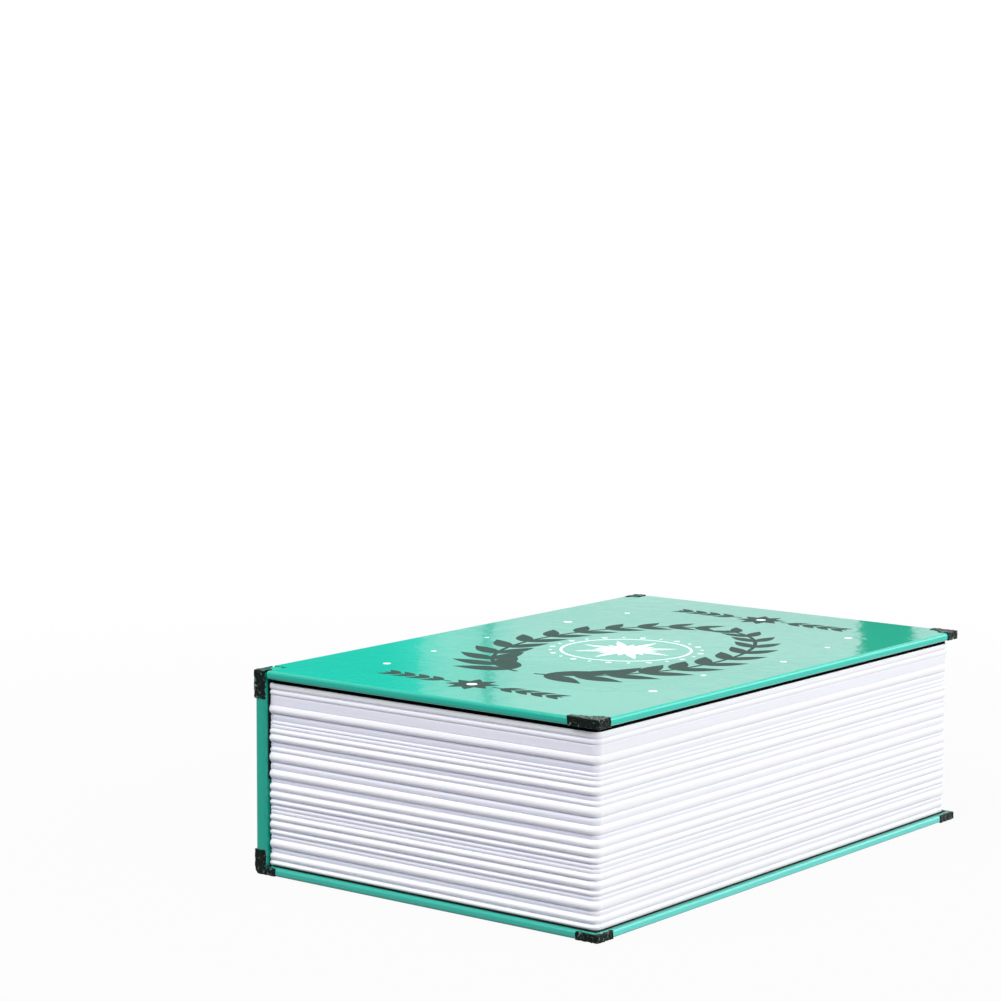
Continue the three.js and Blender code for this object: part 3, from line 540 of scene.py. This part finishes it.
pages = {
    "row": 0.1, "straight": 7, "cornerSteps": 10, "foreCorner": 2.6, "hingeCorner": 0.35,
    "hingeWall": 1.2, "frameWall": 1.2, "trayFit": 0.3, "innerCorner": 1.0, "partingOverlap": 0.12,
    # how deep the ribs are at the tail and head, the share of it on the other sides, and the
    # share of the painted groove shade on the fore side, where the lamps light the grooves
    "shellDepth": 1.2, "frameDepth": 0.7, "hingeShare": 0.75, "foreShare": 0.5, "foreGrooveShare": 0.4,
    # how far the ribs wander, and over what lengths along and across them
    "wander": 0.03, "wanderAlong": 40, "wanderAcross": 1.6,
    # how square the ribs are (near zero is square), and what the first one starts from
    "ribPower": 0.55, "flatPower": 0.1, "topShare": 0.6,
    # how far the block sinks into the soft strips above and below it
    "intoFrameStrip": 0.38, "intoShellStrip": 0.33,
    # ribs from the top down: height in mm, how far the crest stands out and how far the
    # groove below it does, both as shares of the depth
    "frameRibs": [(1.65, 0.95, 0.0), (1.5, 0.85, 0.05), (2.42, 0.5, 0.48)],
    "shellRibs": [
        (2.47, 1.0, 0.0), (1.9, 0.42, 0.3), (1.0, 0.55, 0.36), (1.1, 0.6, 0.4), (1.5, 0.85, 0.28),
        (2.3, 1.0, 0.0), (1.3, 0.4, 0.22), (1.4, 0.7, 0.36), (2.8, 1.0, 0.05), (2.0, 0.6, 0.36),
        (2.5, 1.0, 0.02), (1.1, 0.36, 0.24), (2.2, 0.95, 0.2), (2.3, 1.0, 0.0), (1.7, 0.86, 0.06),
        (1.3, 0.62, 0.38), (1.1, 0.6, 0.34), (1.8, 0.95, 0.18), (2.4, 1.0, 0.02), (1.6, 0.86, 0.12),
        (1.2, 0.56, 0.36), (2.5, 1.0, 0.02), (1.3, 0.45, 0.24), (2.0, 0.95, 0.26), (1.6, 1.0, 0.2),
    ],
}


def ribRows(ribs, height, depth, flatRib):
    # the inset of the surface at each height, from the bottom up, and how deep in a groove it is, which
    # sets the painted shade there
    total = sum(rib[0] for rib in ribs)
    count = round(height / (pages["row"] * mm))
    rows = []
    for row in range(count + 1):
        down = (1 - row / count) * total
        index = 0
        while index < len(ribs) - 1 and down > ribs[index][0]:
            down -= ribs[index][0]
            index += 1
        size, crest, floor = ribs[index]
        above = ribs[index - 1][2] if index else pages["topShare"]
        share = min(max(down / size, 0), 1)
        power = pages["flatPower"] if index == flatRib else pages["ribPower"]
        base = above + (floor - above) * share
        stand = base + (crest - base) * math.sin(math.pi * share) ** power
        rows.append((row / count * height, depth * mm * (1 - stand), 1 - stand))
    return rows


def roundedPath(low, high, radii, openSide):
    # places and inward normals round a rectangle; radii are for the fore and the hinge corners,
    # and openSide leaves out the side at low x
    fore, hinge = radii
    arcs = [(high.x, low.y, -90, fore), (high.x, high.y, 0, fore)]
    if not openSide:
        arcs += [(low.x, high.y, 90, hinge), (low.x, low.y, 180, hinge)]
    path = []
    for x, y, start, radius in arcs:
        centre = Vector((x - radius if x == high.x else x + radius,
                         y - radius if y == high.y else y + radius))
        for step in range(pages["cornerSteps"] + 1):
            angle = math.radians(start + 90 * step / pages["cornerSteps"])
            out = Vector((math.cos(angle), math.sin(angle)))
            path.append((centre + out * radius, -out))
    if openSide:
        first = (Vector((low.x, low.y)), Vector((0, 1)))
        last = (Vector((low.x, high.y)), Vector((0, -1)))
        path = [first] + path + [last]
    return path


def ribPlace(spot, inward, z, inset):
    # where the surface is at a height: the ribs wander a little and are shallower at the
    # hinge and on the fore side
    along = pages["wanderAlong"] * mm
    drift = noise.noise(Vector((spot.x / along, spot.y / along, z / (pages["wanderAcross"] * mm))))
    shift = max(0, inset + pages["wander"] * mm * drift)
    if inward.x > 0.5:
        shift *= pages["hingeShare"]
    shift *= 1 - (1 - pages["foreShare"]) * max(-inward.x, 0)
    return spot + inward * shift


def sweptBlock(name, outer, inner, rows, base, openSide):
    # outer and inner are paths with the same count of places; the rows go round the outer one
    height = rows[-1][0]
    bm = bmesh.new()
    layer = bm.verts.layers.float.new("groove")
    loops = []
    count = len(outer)
    for index in range(count if openSide else count + 1):
        here = index % count
        if index:
            before = (index - 1) % count
            gap = (outer[here][0] - outer[before][0]).length
            pieces = max(1, round(gap / (pages["straight"] * mm)))
            spans = [(before, here, step / pieces) for step in range(1, pieces + 1)]
        else:
            spans = [(here, here, 0)]
        for a, b, share in spans:
            if index == count and share == 1:
                continue
            spot = outer[a][0].lerp(outer[b][0], share)
            inward = outer[a][1].lerp(outer[b][1], share).normalized()
            # the painted groove shade is weaker on the fore side, which the lamps light from the front
            paintedShadeShare = 1 - (1 - pages["foreGrooveShare"]) * max(-inward.x, 0)
            loop = []
            for z, inset, groove in rows:
                place = ribPlace(spot, inward, z, inset)
                vert = bm.verts.new((place.x, place.y, base + z))
                vert[layer] = min(max(groove, 0), 1) * paintedShadeShare
                loop.append(vert)
            back = inner[a][0].lerp(inner[b][0], share)
            for z in (height, 0):
                loop.append(bm.verts.new((back.x, back.y, base + z)))
            loops.append(loop)
    size = len(rows) + 2
    for a, b in zip(loops, loops[1:] if openSide else loops[1:] + loops[:1]):
        for i in range(size):
            j = (i + 1) % size
            bm.faces.new((a[i], b[i], b[j], a[j]))
    if openSide:
        bm.faces.new(loops[0])
        bm.faces.new(loops[-1])
    return meshFrom(bm, name)


def buildPages():
    trayLow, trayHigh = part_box("box_tray")
    fit = Vector((pages["trayFit"], pages["trayFit"])) * mm
    overlap = pages["partingOverlap"] * mm

    low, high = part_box("page_shell")
    low.z -= pages["intoShellStrip"] * mm
    outer = roundedPath(low, high, (pages["foreCorner"] * mm, pages["hingeCorner"] * mm), False)
    roomLow = Vector((low.x + pages["hingeWall"] * mm, trayLow.y - fit.y))
    roomHigh = trayHigh.xy + fit
    inner = roundedPath(roomLow, roomHigh, (pages["foreCorner"] * mm, pages["innerCorner"] * mm), False)
    rows = ribRows(pages["shellRibs"], high.z + overlap - low.z, pages["shellDepth"], -1)
    addPiece("pageShell", sweptBlock("pageShell", outer, inner, rows, low.z, False), pagePlastic, "base",
             ("page_shell",), 80)

    low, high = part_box("page_frame")
    high.z += pages["intoFrameStrip"] * mm
    outer = roundedPath(low, high, (pages["foreCorner"] * mm, 0), True)
    wall = Vector((pages["frameWall"], pages["frameWall"])) * mm
    roomLow = Vector((low.x, low.y + wall.y))
    inner = roundedPath(roomLow, high.xy - wall, (pages["innerCorner"] * mm, 0), True)
    bottom = low.z - overlap
    rows = ribRows(pages["frameRibs"], high.z - bottom, pages["frameDepth"], len(pages["frameRibs"]) - 1)
    addPiece("pageFrame", sweptBlock("pageFrame", outer, inner, rows, bottom, True), pagePlastic,
             "front_cover", ("page_frame",), 80)


buildPages()
print("page block built")


# the printed ornament on the front cover, in mm from the middle of the cover

ornament = {
    "film": 0.012, "leafSteps": 10, "leafPower": 0.8,
    # the wreath's two branches, whose leaves get smaller towards the tip
    "wreathWidth": 31, "wreathHeight": 47, "wreathSpanShare": 0.94, "stem": 1.2, "stemSteps": 60,
    "leaves": 12, "leafLength": 17, "leafWidth": 6.4, "leafTurn": 0.62, "tipShare": 0.55,
    # the star with its ring and the dots round it
    "petals": 16, "petal": 15, "petalWidth": 2.8, "shortPetalShare": 0.62,
    "ring": 18.5, "ringLine": 0.8, "ringSteps": 72, "dots": 24, "dot": 0.9, "smallDotShare": 0.6,
    "dotsOut": 3,
    # the sprigs near the head and the tail: a flower between two twigs
    "sprigY": 70, "flowerPetals": 8, "flowerPetal": 7.5, "flowerWidth": 3.6, "flowerHeart": 1.5,
    "twigStops": (7, 18, 30), "twigLine": 0.8, "twigLeaves": 4, "twigFirst": 10, "twigStep": 5,
    "twigLeaf": 6.5, "twigWidth": 2.6, "twigTurn": 0.5,
    # loose dots: place and radius
    "looseDots": ((38, 58, 1.2), (42, 40, 0.8), (-39, 55, 0.9), (-43, 30, 1.3), (40, -20, 0.8),
                  (43, -48, 1.2), (-41, -36, 0.8), (-38, -60, 1.1), (-44, -8, 0.7), (45, 12, 1.0)),
}


def direction(angle):
    return Vector((math.cos(angle), math.sin(angle)))


def leafShape(root, angle, length, width):
    # a pointed leaf from its root along angle
    steps = ornament["leafSteps"]
    along = direction(angle)
    side = Vector((-along.y, along.x))
    points = []
    for flank in (1, -1):
        for step in range(steps):
            share = step / steps if flank > 0 else 1 - step / steps
            swell = math.sin(math.pi * share ** ornament["leafPower"]) * width / 2
            points.append(root + along * length * share + side * swell * flank)
    return points


def ringShape(centre, radius, count=24):
    return [centre + direction(2 * math.pi * i / count) * radius for i in range(count)]


def bandShape(points, width):
    # a strip of even width along a line of points
    left, right = [], []
    for i, point in enumerate(points):
        ahead = points[min(i + 1, len(points) - 1)] - points[max(i - 1, 0)]
        side = Vector((-ahead.y, ahead.x)).normalized() * width / 2
        left.append(point + side)
        right.append(point - side)
    return [[left[i], left[i + 1], right[i + 1], right[i]] for i in range(len(points) - 1)]


def holds(shape, place):
    # whether a closed line of points goes round a place
    inside = False
    for a, b in zip(shape, shape[1:] + shape[:1]):
        if (a.y > place.y) != (b.y > place.y):
            if place.x < a.x + (b.x - a.x) * (place.y - a.y) / (b.y - a.y):
                inside = not inside
    return inside


def printShapes(name, shapes, material, layer):
    # one flat film of ink from all the shapes, merged where they overlap
    coverLow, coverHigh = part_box("front_wrap")
    centre = (coverLow + coverHigh) / 2
    points, faces = [], []
    for shape in shapes:
        faces.append(list(range(len(points), len(points) + len(shape))))
        points += shape
    spots, _, triangles, _, _, _ = delaunay_2d_cdt(points, [], faces, 1, 0.001)
    spans = []
    for shape in shapes:
        xs, ys = [p.x for p in shape], [p.y for p in shape]
        spans.append((min(xs), max(xs), min(ys), max(ys), shape))
    top = coverHigh.z + layer * ornament["film"] * mm
    bm = bmesh.new()
    made = [bm.verts.new((centre.x + p.x * mm, centre.y + p.y * mm, top)) for p in spots]
    flat = []
    for triangle in triangles:
        heart = sum((spots[i] for i in triangle), Vector((0, 0))) / 3
        near = (s for x0, x1, y0, y1, s in spans if x0 < heart.x < x1 and y0 < heart.y < y1)
        if not any(holds(shape, heart) for shape in near):
            continue
        face = bm.faces.new([made[i] for i in triangle])
        face.normal_update()
        if face.normal.z < 0:
            face.normal_flip()
        flat.append(face)
    under = bmesh.ops.extrude_face_region(bm, geom=flat)
    for vert in (g for g in under["geom"] if isinstance(g, bmesh.types.BMVert)):
        vert.co.z = coverHigh.z - ornament["film"] * mm
    bmesh.ops.delete(bm, geom=[v for v in bm.verts if not v.link_faces], context="VERTS")
    addPiece(name, meshFrom(bm, name), material, "front_cover", (), 30)


def wreathPoint(share, side):
    angle = math.pi * ornament["wreathSpanShare"] * (share - 0.5)
    return Vector((side * math.cos(angle) * ornament["wreathWidth"],
                   math.sin(angle) * ornament["wreathHeight"]))


def wreathBranch(side):
    steps = ornament["stemSteps"]
    shapes = bandShape([wreathPoint(i / steps, side) for i in range(steps + 1)], ornament["stem"])
    for leaf in range(ornament["leaves"]):
        share = (leaf + 0.4) / ornament["leaves"]
        here, ahead = wreathPoint(share, side), wreathPoint(share + 0.01, side)
        heading = math.atan2(ahead.y - here.y, ahead.x - here.x)
        size = 1 - (1 - ornament["tipShare"]) * share
        for turn in (ornament["leafTurn"], -ornament["leafTurn"]):
            shapes.append(leafShape(here, heading + turn, ornament["leafLength"] * size,
                                    ornament["leafWidth"] * size))
    return shapes


def starAndRing():
    shapes = []
    for petal in range(ornament["petals"]):
        length = ornament["petal"] * (ornament["shortPetalShare"] if petal % 2 else 1)
        angle = petal * 2 * math.pi / ornament["petals"]
        shapes.append(leafShape(Vector((0, 0)), angle, length, ornament["petalWidth"]))
    steps = ornament["ringSteps"]
    rim = [direction(i * 2 * math.pi / steps) * ornament["ring"] for i in range(steps + 1)]
    shapes += bandShape(rim, ornament["ringLine"])
    for dot in range(ornament["dots"]):
        spot = direction((dot + 0.5) * 2 * math.pi / ornament["dots"])
        radius = ornament["dot"] * (1 if dot % 2 else ornament["smallDotShare"])
        shapes.append(ringShape(spot * (ornament["ring"] + ornament["dotsOut"]), radius, 16))
    return shapes


def sprig(middle):
    shapes = []
    for petal in range(ornament["flowerPetals"]):
        angle = (petal + 0.5) * 2 * math.pi / ornament["flowerPetals"]
        shapes.append(leafShape(middle, angle, ornament["flowerPetal"], ornament["flowerWidth"]))
    for side in (1, -1):
        outward = 0 if side > 0 else math.pi
        for leaf in range(ornament["twigLeaves"]):
            out = ornament["twigFirst"] + leaf * ornament["twigStep"]
            for turn in (ornament["twigTurn"], -ornament["twigTurn"]):
                shapes.append(leafShape(middle + Vector((side * out, 0)), outward + side * turn,
                                        ornament["twigLeaf"], ornament["twigWidth"]))
        stops = [middle + Vector((side * x, 0)) for x in ornament["twigStops"]]
        shapes += bandShape(stops, ornament["twigLine"])
    return shapes


def buildOrnament():
    dark = wreathBranch(1) + wreathBranch(-1)
    white = starAndRing()
    for end in (1, -1):
        middle = Vector((0, end * ornament["sprigY"]))
        dark += sprig(middle)
        white.append(ringShape(middle, ornament["flowerHeart"]))
    for x, y, radius in ornament["looseDots"]:
        white.append(ringShape(Vector((x, y)), radius))
    printShapes("printDark", dark, darkInk, 1)
    printShapes("printWhite", white, whiteInk, 2)


buildOrnament()
print("ornament printed")


# the steel box and its lid

def buildBox():
    softCopy("box_tray", boxSteel, "base", 0.25, name="boxTray")
    softCopy("box_lid", boxSteel, "lid", 0.32, 3, name="boxLid")
    softCopy("latch_keeper", zincPlate, "base", 0.2, name="latchKeeper")
    softCopy("tray_hinge_leaf", zincPlate, "base", 0.08, name="trayHingeLeaf")
    softCopy("lid_hinge_leaf", zincPlate, "lid", 0.08, name="lidHingeLeaf")
    softCopy("hinge_pin", zincPlate, "base", 0.12, name="hingePin")


buildBox()
print("box built")


# the lock

# capShare is how tall a digit is as a share of the type's size
lockLook = {"digits": 10, "digitHeight": 3.4, "capShare": 0.7, "digitRaise": 0.03, "digitStretch": 1.7,
            "digitBold": 0.1}


def digitMesh(text):
    curve = bpy.data.curves.new("digit" + text, "FONT")
    curve.body = text
    curve.size = lockLook["digitHeight"] * mm / lockLook["capShare"]
    curve.align_x = "CENTER"
    curve.align_y = "CENTER"
    curve.offset = lockLook["digitBold"] * mm
    curve.extrude = lockLook["digitRaise"] * mm
    curve.fill_mode = "BOTH"
    return shownMesh(curve, "digitHolder" + text)


def buildDials():
    jointsByName = {entry["name"]: entry for entry in frame["record"]["behaviour"]["joints"]}
    for dial in (1, 2, 3):
        # the node and its body have the same name
        node = f"dial_{dial}"
        softCopy(node, dialAbs, node, 0.22, name=f"dial{dial}")
        axis = Vector(jointsByName[f"dial_{dial}_spin"]["pos_m"])
        low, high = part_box(node)
        # a flat is level at rest, so half the height is how far out it lies
        flatOut = (high.z - low.z) / 2
        bm = bmesh.new()
        for digit in range(lockLook["digits"]):
            part = digitMesh(str(digit))
            turn = 2 * math.pi * digit / lockLook["digits"]
            for vert in part.vertices:
                u, v, w = vert.co
                # upright for a reader at the head of the book
                y, z = -v, flatOut + w
                vert.co = (axis.x - u * lockLook["digitStretch"],
                           axis.y + y * math.cos(turn) - z * math.sin(turn),
                           axis.z + z * math.cos(turn) + y * math.sin(turn))
            bm.from_mesh(part)
        name = f"dialNumbers{dial}"
        addPiece(name, meshFrom(bm, name), whitePaint, node)


def buildLock():
    softCopy("lock_face", lockAbs, "lid", 0.25, 3, name="lockFace")
    softCopy("lock_bead", giltBead, "lid", 0.3, 3, name="lockBead")
    softCopy("lock_housing", lockAbs, "lid", 0.3, name="lockHousing")
    for node, name, radius in (("dial_axle", "dialAxle", 0.2), ("detent_spring", "detentSpring", 0.06)):
        softCopy(node, zincPlate, "lid", radius, name=name)
    for screw in (1, 2, 3, 4):
        softCopy(f"lock_screw_{screw}", zincPlate, "lid", 0.2, name=f"lockScrew{screw}")
    softCopy("locking_bar", zincPlate, "locking_bar", 0.1, name="lockingBar")
    softCopy("knob", knobAbs, "knob", 0.12, name="knobGrip")
    for node, name in (("spindle", "spindleShaft"), ("latch_arm", "latchArm"), ("latch_nut", "latchNut")):
        softCopy(node, zincPlate, "knob", 0.2, name=name)
    buildDials()


buildLock()
print("lock built")


# floor, backdrop, lamps and camera

studio = {
    "azimuth": 38.052, "elevation": 6.672, "roll": 0.237, "lens": 104.068, "sensor": 36, "clipStart": 0.01,
    "eye": (0.47322, -0.66018, 0.19404),
    # the floor glows a little less near the book than far from it, where it meets the backdrop
    "floorHalf": 6, "floorDrop": 0.0002, "floorColour": (0.24, 0.24, 0.25, 1),
    "glowNear": 0.957, "glowFrom": 0.16, "glowTo": 0.5,
    "fill": 0.4, "fillColour": (0.86, 0.9, 1.0, 1), "aim": (0, 0, 0.03),
    # how bright the floor is in the gloss: dim in front of the tail and full beside the book
    "frontShine": 0.3, "sideShine": 1.0, "shineFromY": -0.13, "shineToY": -0.03,
    # what stands behind the book, seen in its gloss: azimuth from +Y towards -X in degrees,
    # and the colour there
    "gloss": ((28, "#ffffff"), (29.74, "#f4fbfa"), (29.84, "#4f8f62"), (30.86, "#4f8f62"),
              (30.9, "#ffffff"), (34.07, "#ffffff"), (36.11, "#fbfffe"), (37.66, "#f2fffd"),
              (38.15, "#d3f3ec"), (38.29, "#78b8aa"), (38.44, "#cdf5ee"), (39.05, "#ccfbf2"),
              (39.6, "#a2f6e8"), (39.72, "#5fe8d2"), (40.38, "#46e0c8"), (45.05, "#46e0c8"),
              (45.55, "#ffffff")),
    # it ends at glossTop and dims a little towards the horizon, so that ripples in the film show
    "glossTop": 0.45, "dimUpTo": 0.22, "dimLow": 0.72, "dimHigh": 1.08,
    # faint level bands in the backdrop, which the ripples of the film break into streaks
    "bandHeight": 0.02, "bandShare": 0.12,
    # lamp: place, size, power, colour
    "lamps": (("topSoftbox", (-0.1, 0.15, 1.2), 1.0, 8.5, (1, 1, 1)),
              ("foreSoftbox", (1.15, -0.1, 0.35), 0.9, 9.3, (1, 1, 1)),
              ("rimSoftbox", (0.78, 1.15, 0.42), 0.8, 5, (1, 1, 1)),
              ("tailSoftbox", (-0.35, -0.75, 1.05), 0.7, 14, (1, 0.99, 1))),
}


def seenRays(tree):
    # glossy rays, the straight ones (camera and transmission) and both: they see the white studio
    ray = addNode(tree, "ShaderNodeLightPath").outputs
    straight = addNode(tree, "ShaderNodeMath", {"operation": "MAXIMUM"},
                       {0: ray["Is Camera Ray"], 1: ray["Is Transmission Ray"]})
    both = addNode(tree, "ShaderNodeMath", {"operation": "MAXIMUM"},
                   {0: straight.outputs["Value"], 1: ray["Is Glossy Ray"]})
    return ray["Is Glossy Ray"], straight.outputs["Value"], both.outputs["Value"]


def buildFloor():
    bm = bmesh.new()
    bmesh.ops.create_grid(bm, x_segments=2, y_segments=2, size=studio["floorHalf"])
    floor = bpy.data.objects.new("studioFloor", meshFrom(bm, "studioFloor"))
    floor.location.z = -studio["floorDrop"]
    collection.objects.link(floor)
    material = bpy.data.materials.new("studioFloorPaper")
    material.use_nodes = True
    tree = material.node_tree
    tree.nodes.clear()
    matt = addNode(tree, "ShaderNodeBsdfDiffuse", {"Color": studio["floorColour"]})
    glow = addNode(tree, "ShaderNodeEmission", {"Color": (1, 1, 1, 1), "Strength": 1.0})
    glossy, straight, _ = seenRays(tree)
    place = addNode(tree, "ShaderNodeTexCoord").outputs["Object"]
    spot = addNode(tree, "ShaderNodeSeparateXYZ", {}, {0: place})
    shine = addNode(tree, "ShaderNodeMapRange", {
        "From Min": studio["shineFromY"], "From Max": studio["shineToY"],
        "To Min": studio["frontShine"], "To Max": studio["sideShine"]}, {"Value": spot.outputs["Y"]})
    inGloss = addNode(tree, "ShaderNodeMath", {"operation": "MULTIPLY"},
                      {0: glossy, 1: shine.outputs["Result"]})
    seen = addNode(tree, "ShaderNodeMath", {"operation": "MAXIMUM"},
                   {0: straight, 1: inGloss.outputs["Value"]})
    away = addNode(tree, "ShaderNodeVectorMath", {"operation": "LENGTH"}, {0: place})
    glowShare = addNode(tree, "ShaderNodeMapRange", {
        "From Min": studio["glowFrom"], "From Max": studio["glowTo"],
        "To Min": studio["glowNear"], "To Max": 1.0}, {"Value": away.outputs["Value"]})
    share = addNode(tree, "ShaderNodeMath", {"operation": "MULTIPLY"},
                    {0: seen.outputs["Value"], 1: glowShare.outputs["Result"]})
    mix = addNode(tree, "ShaderNodeMixShader", {}, {
        0: share.outputs["Value"], 1: matt.outputs["BSDF"], 2: glow.outputs["Emission"]})
    addNode(tree, "ShaderNodeOutputMaterial", {}, {"Surface": mix.outputs["Shader"]})
    floor.data.materials.append(material)


def glossColour(tree, turn):
    # the colours of the gloss table along the azimuth
    stops = studio["gloss"]
    start, end = math.radians(stops[0][0]), math.radians(stops[-1][0])
    along = addNode(tree, "ShaderNodeMapRange", {"From Min": start, "From Max": end}, {"Value": turn})
    ramp = addNode(tree, "ShaderNodeValToRGB", {}, {"Fac": along.outputs["Result"]})
    elements = ramp.color_ramp.elements
    for index, (angle, colour) in enumerate(stops):
        share = (math.radians(angle) - start) / (end - start)
        if index < 2:
            elements[index].position = share
            elements[index].color = toLinear(colour)
        else:
            elements.new(share).color = toLinear(colour)
    return ramp.outputs["Color"]


def buildWorld():
    world = bpy.data.worlds.new("studioWorld")
    bpy.context.scene.world = world
    world.use_nodes = True
    tree = world.node_tree
    tree.nodes.clear()
    glossy, _, seen = seenRays(tree)
    coords = addNode(tree, "ShaderNodeTexCoord")
    view = addNode(tree, "ShaderNodeSeparateXYZ", {}, {0: coords.outputs["Generated"]}).outputs
    left = addNode(tree, "ShaderNodeMath", {"operation": "MULTIPLY", 1: -1.0}, {0: view["X"]})
    turn = addNode(tree, "ShaderNodeMath", {"operation": "ARCTAN2"},
                   {0: left.outputs["Value"], 1: view["Y"]})
    low = addNode(tree, "ShaderNodeMath", {"operation": "LESS_THAN", 1: studio["glossTop"]},
                  {0: view["Z"]})
    inGloss = addNode(tree, "ShaderNodeMath", {"operation": "MULTIPLY"},
                      {0: low.outputs["Value"], 1: glossy})
    paintedShadeShare = addNode(tree, "ShaderNodeMix", {"data_type": "RGBA", 6: (1, 1, 1, 1)},
                   {0: inGloss.outputs["Value"], 7: glossColour(tree, turn.outputs["Value"])})
    dim = addNode(tree, "ShaderNodeMapRange", {
        "From Max": studio["dimUpTo"], "To Min": studio["dimLow"], "To Max": studio["dimHigh"]},
                  {"Value": view["Z"]})
    phase = addNode(tree, "ShaderNodeMath",
                    {"operation": "MULTIPLY", 1: 2 * math.pi / studio["bandHeight"]}, {0: view["Z"]})
    wave = addNode(tree, "ShaderNodeMath", {"operation": "SINE"}, {0: phase.outputs["Value"]})
    bands = addNode(tree, "ShaderNodeMath", {"operation": "MULTIPLY_ADD", 1: studio["bandShare"]},
                    {0: wave.outputs["Value"], 2: dim.outputs["Result"]})
    sheen = addNode(tree, "ShaderNodeMix", {"data_type": "FLOAT", 2: 1.0},
                    {0: inGloss.outputs["Value"], 3: bands.outputs["Value"]})
    white = addNode(tree, "ShaderNodeBackground", {},
                    {"Color": paintedShadeShare.outputs[2], "Strength": sheen.outputs[0]})
    fill = addNode(tree, "ShaderNodeBackground",
                   {"Color": studio["fillColour"], "Strength": studio["fill"]})
    mix = addNode(tree, "ShaderNodeMixShader", {}, {
        0: seen, 1: fill.outputs["Background"], 2: white.outputs["Background"]})
    addNode(tree, "ShaderNodeOutputWorld", {}, {"Surface": mix.outputs["Shader"]})


def buildStudio():
    buildFloor()
    buildWorld()
    for name, place, size, power, colour in studio["lamps"]:
        data = bpy.data.lights.new(name, "AREA")
        data.size = size
        data.energy = power
        data.color = colour
        lamp = bpy.data.objects.new(name, data)
        lamp.location = place
        toBook = Vector(studio["aim"]) - Vector(place)
        lamp.rotation_euler = toBook.to_track_quat("-Z", "Y").to_euler()
        collection.objects.link(lamp)

    azimuth, elevation, roll = (math.radians(studio[k]) for k in ("azimuth", "elevation", "roll"))
    back = Vector((math.sin(azimuth) * math.cos(elevation), -math.cos(azimuth) * math.cos(elevation),
                   math.sin(elevation)))
    level = Vector((0, 0, 1)).cross(back).normalized()
    right = level * math.cos(roll) + back.cross(level) * math.sin(roll)
    lens = bpy.data.cameras.new("camera")
    lens.lens = studio["lens"]
    lens.sensor_width = studio["sensor"]
    lens.clip_start = studio["clipStart"]
    camera = bpy.data.objects.new("camera", lens)
    camera.matrix_world = Matrix((right, back.cross(right), back)).transposed().to_4x4()
    camera.location = studio["eye"]
    collection.objects.link(camera)
    bpy.context.scene.camera = camera
    bpy.context.scene.view_settings.view_transform = "Standard"


buildStudio()
print("studio set")
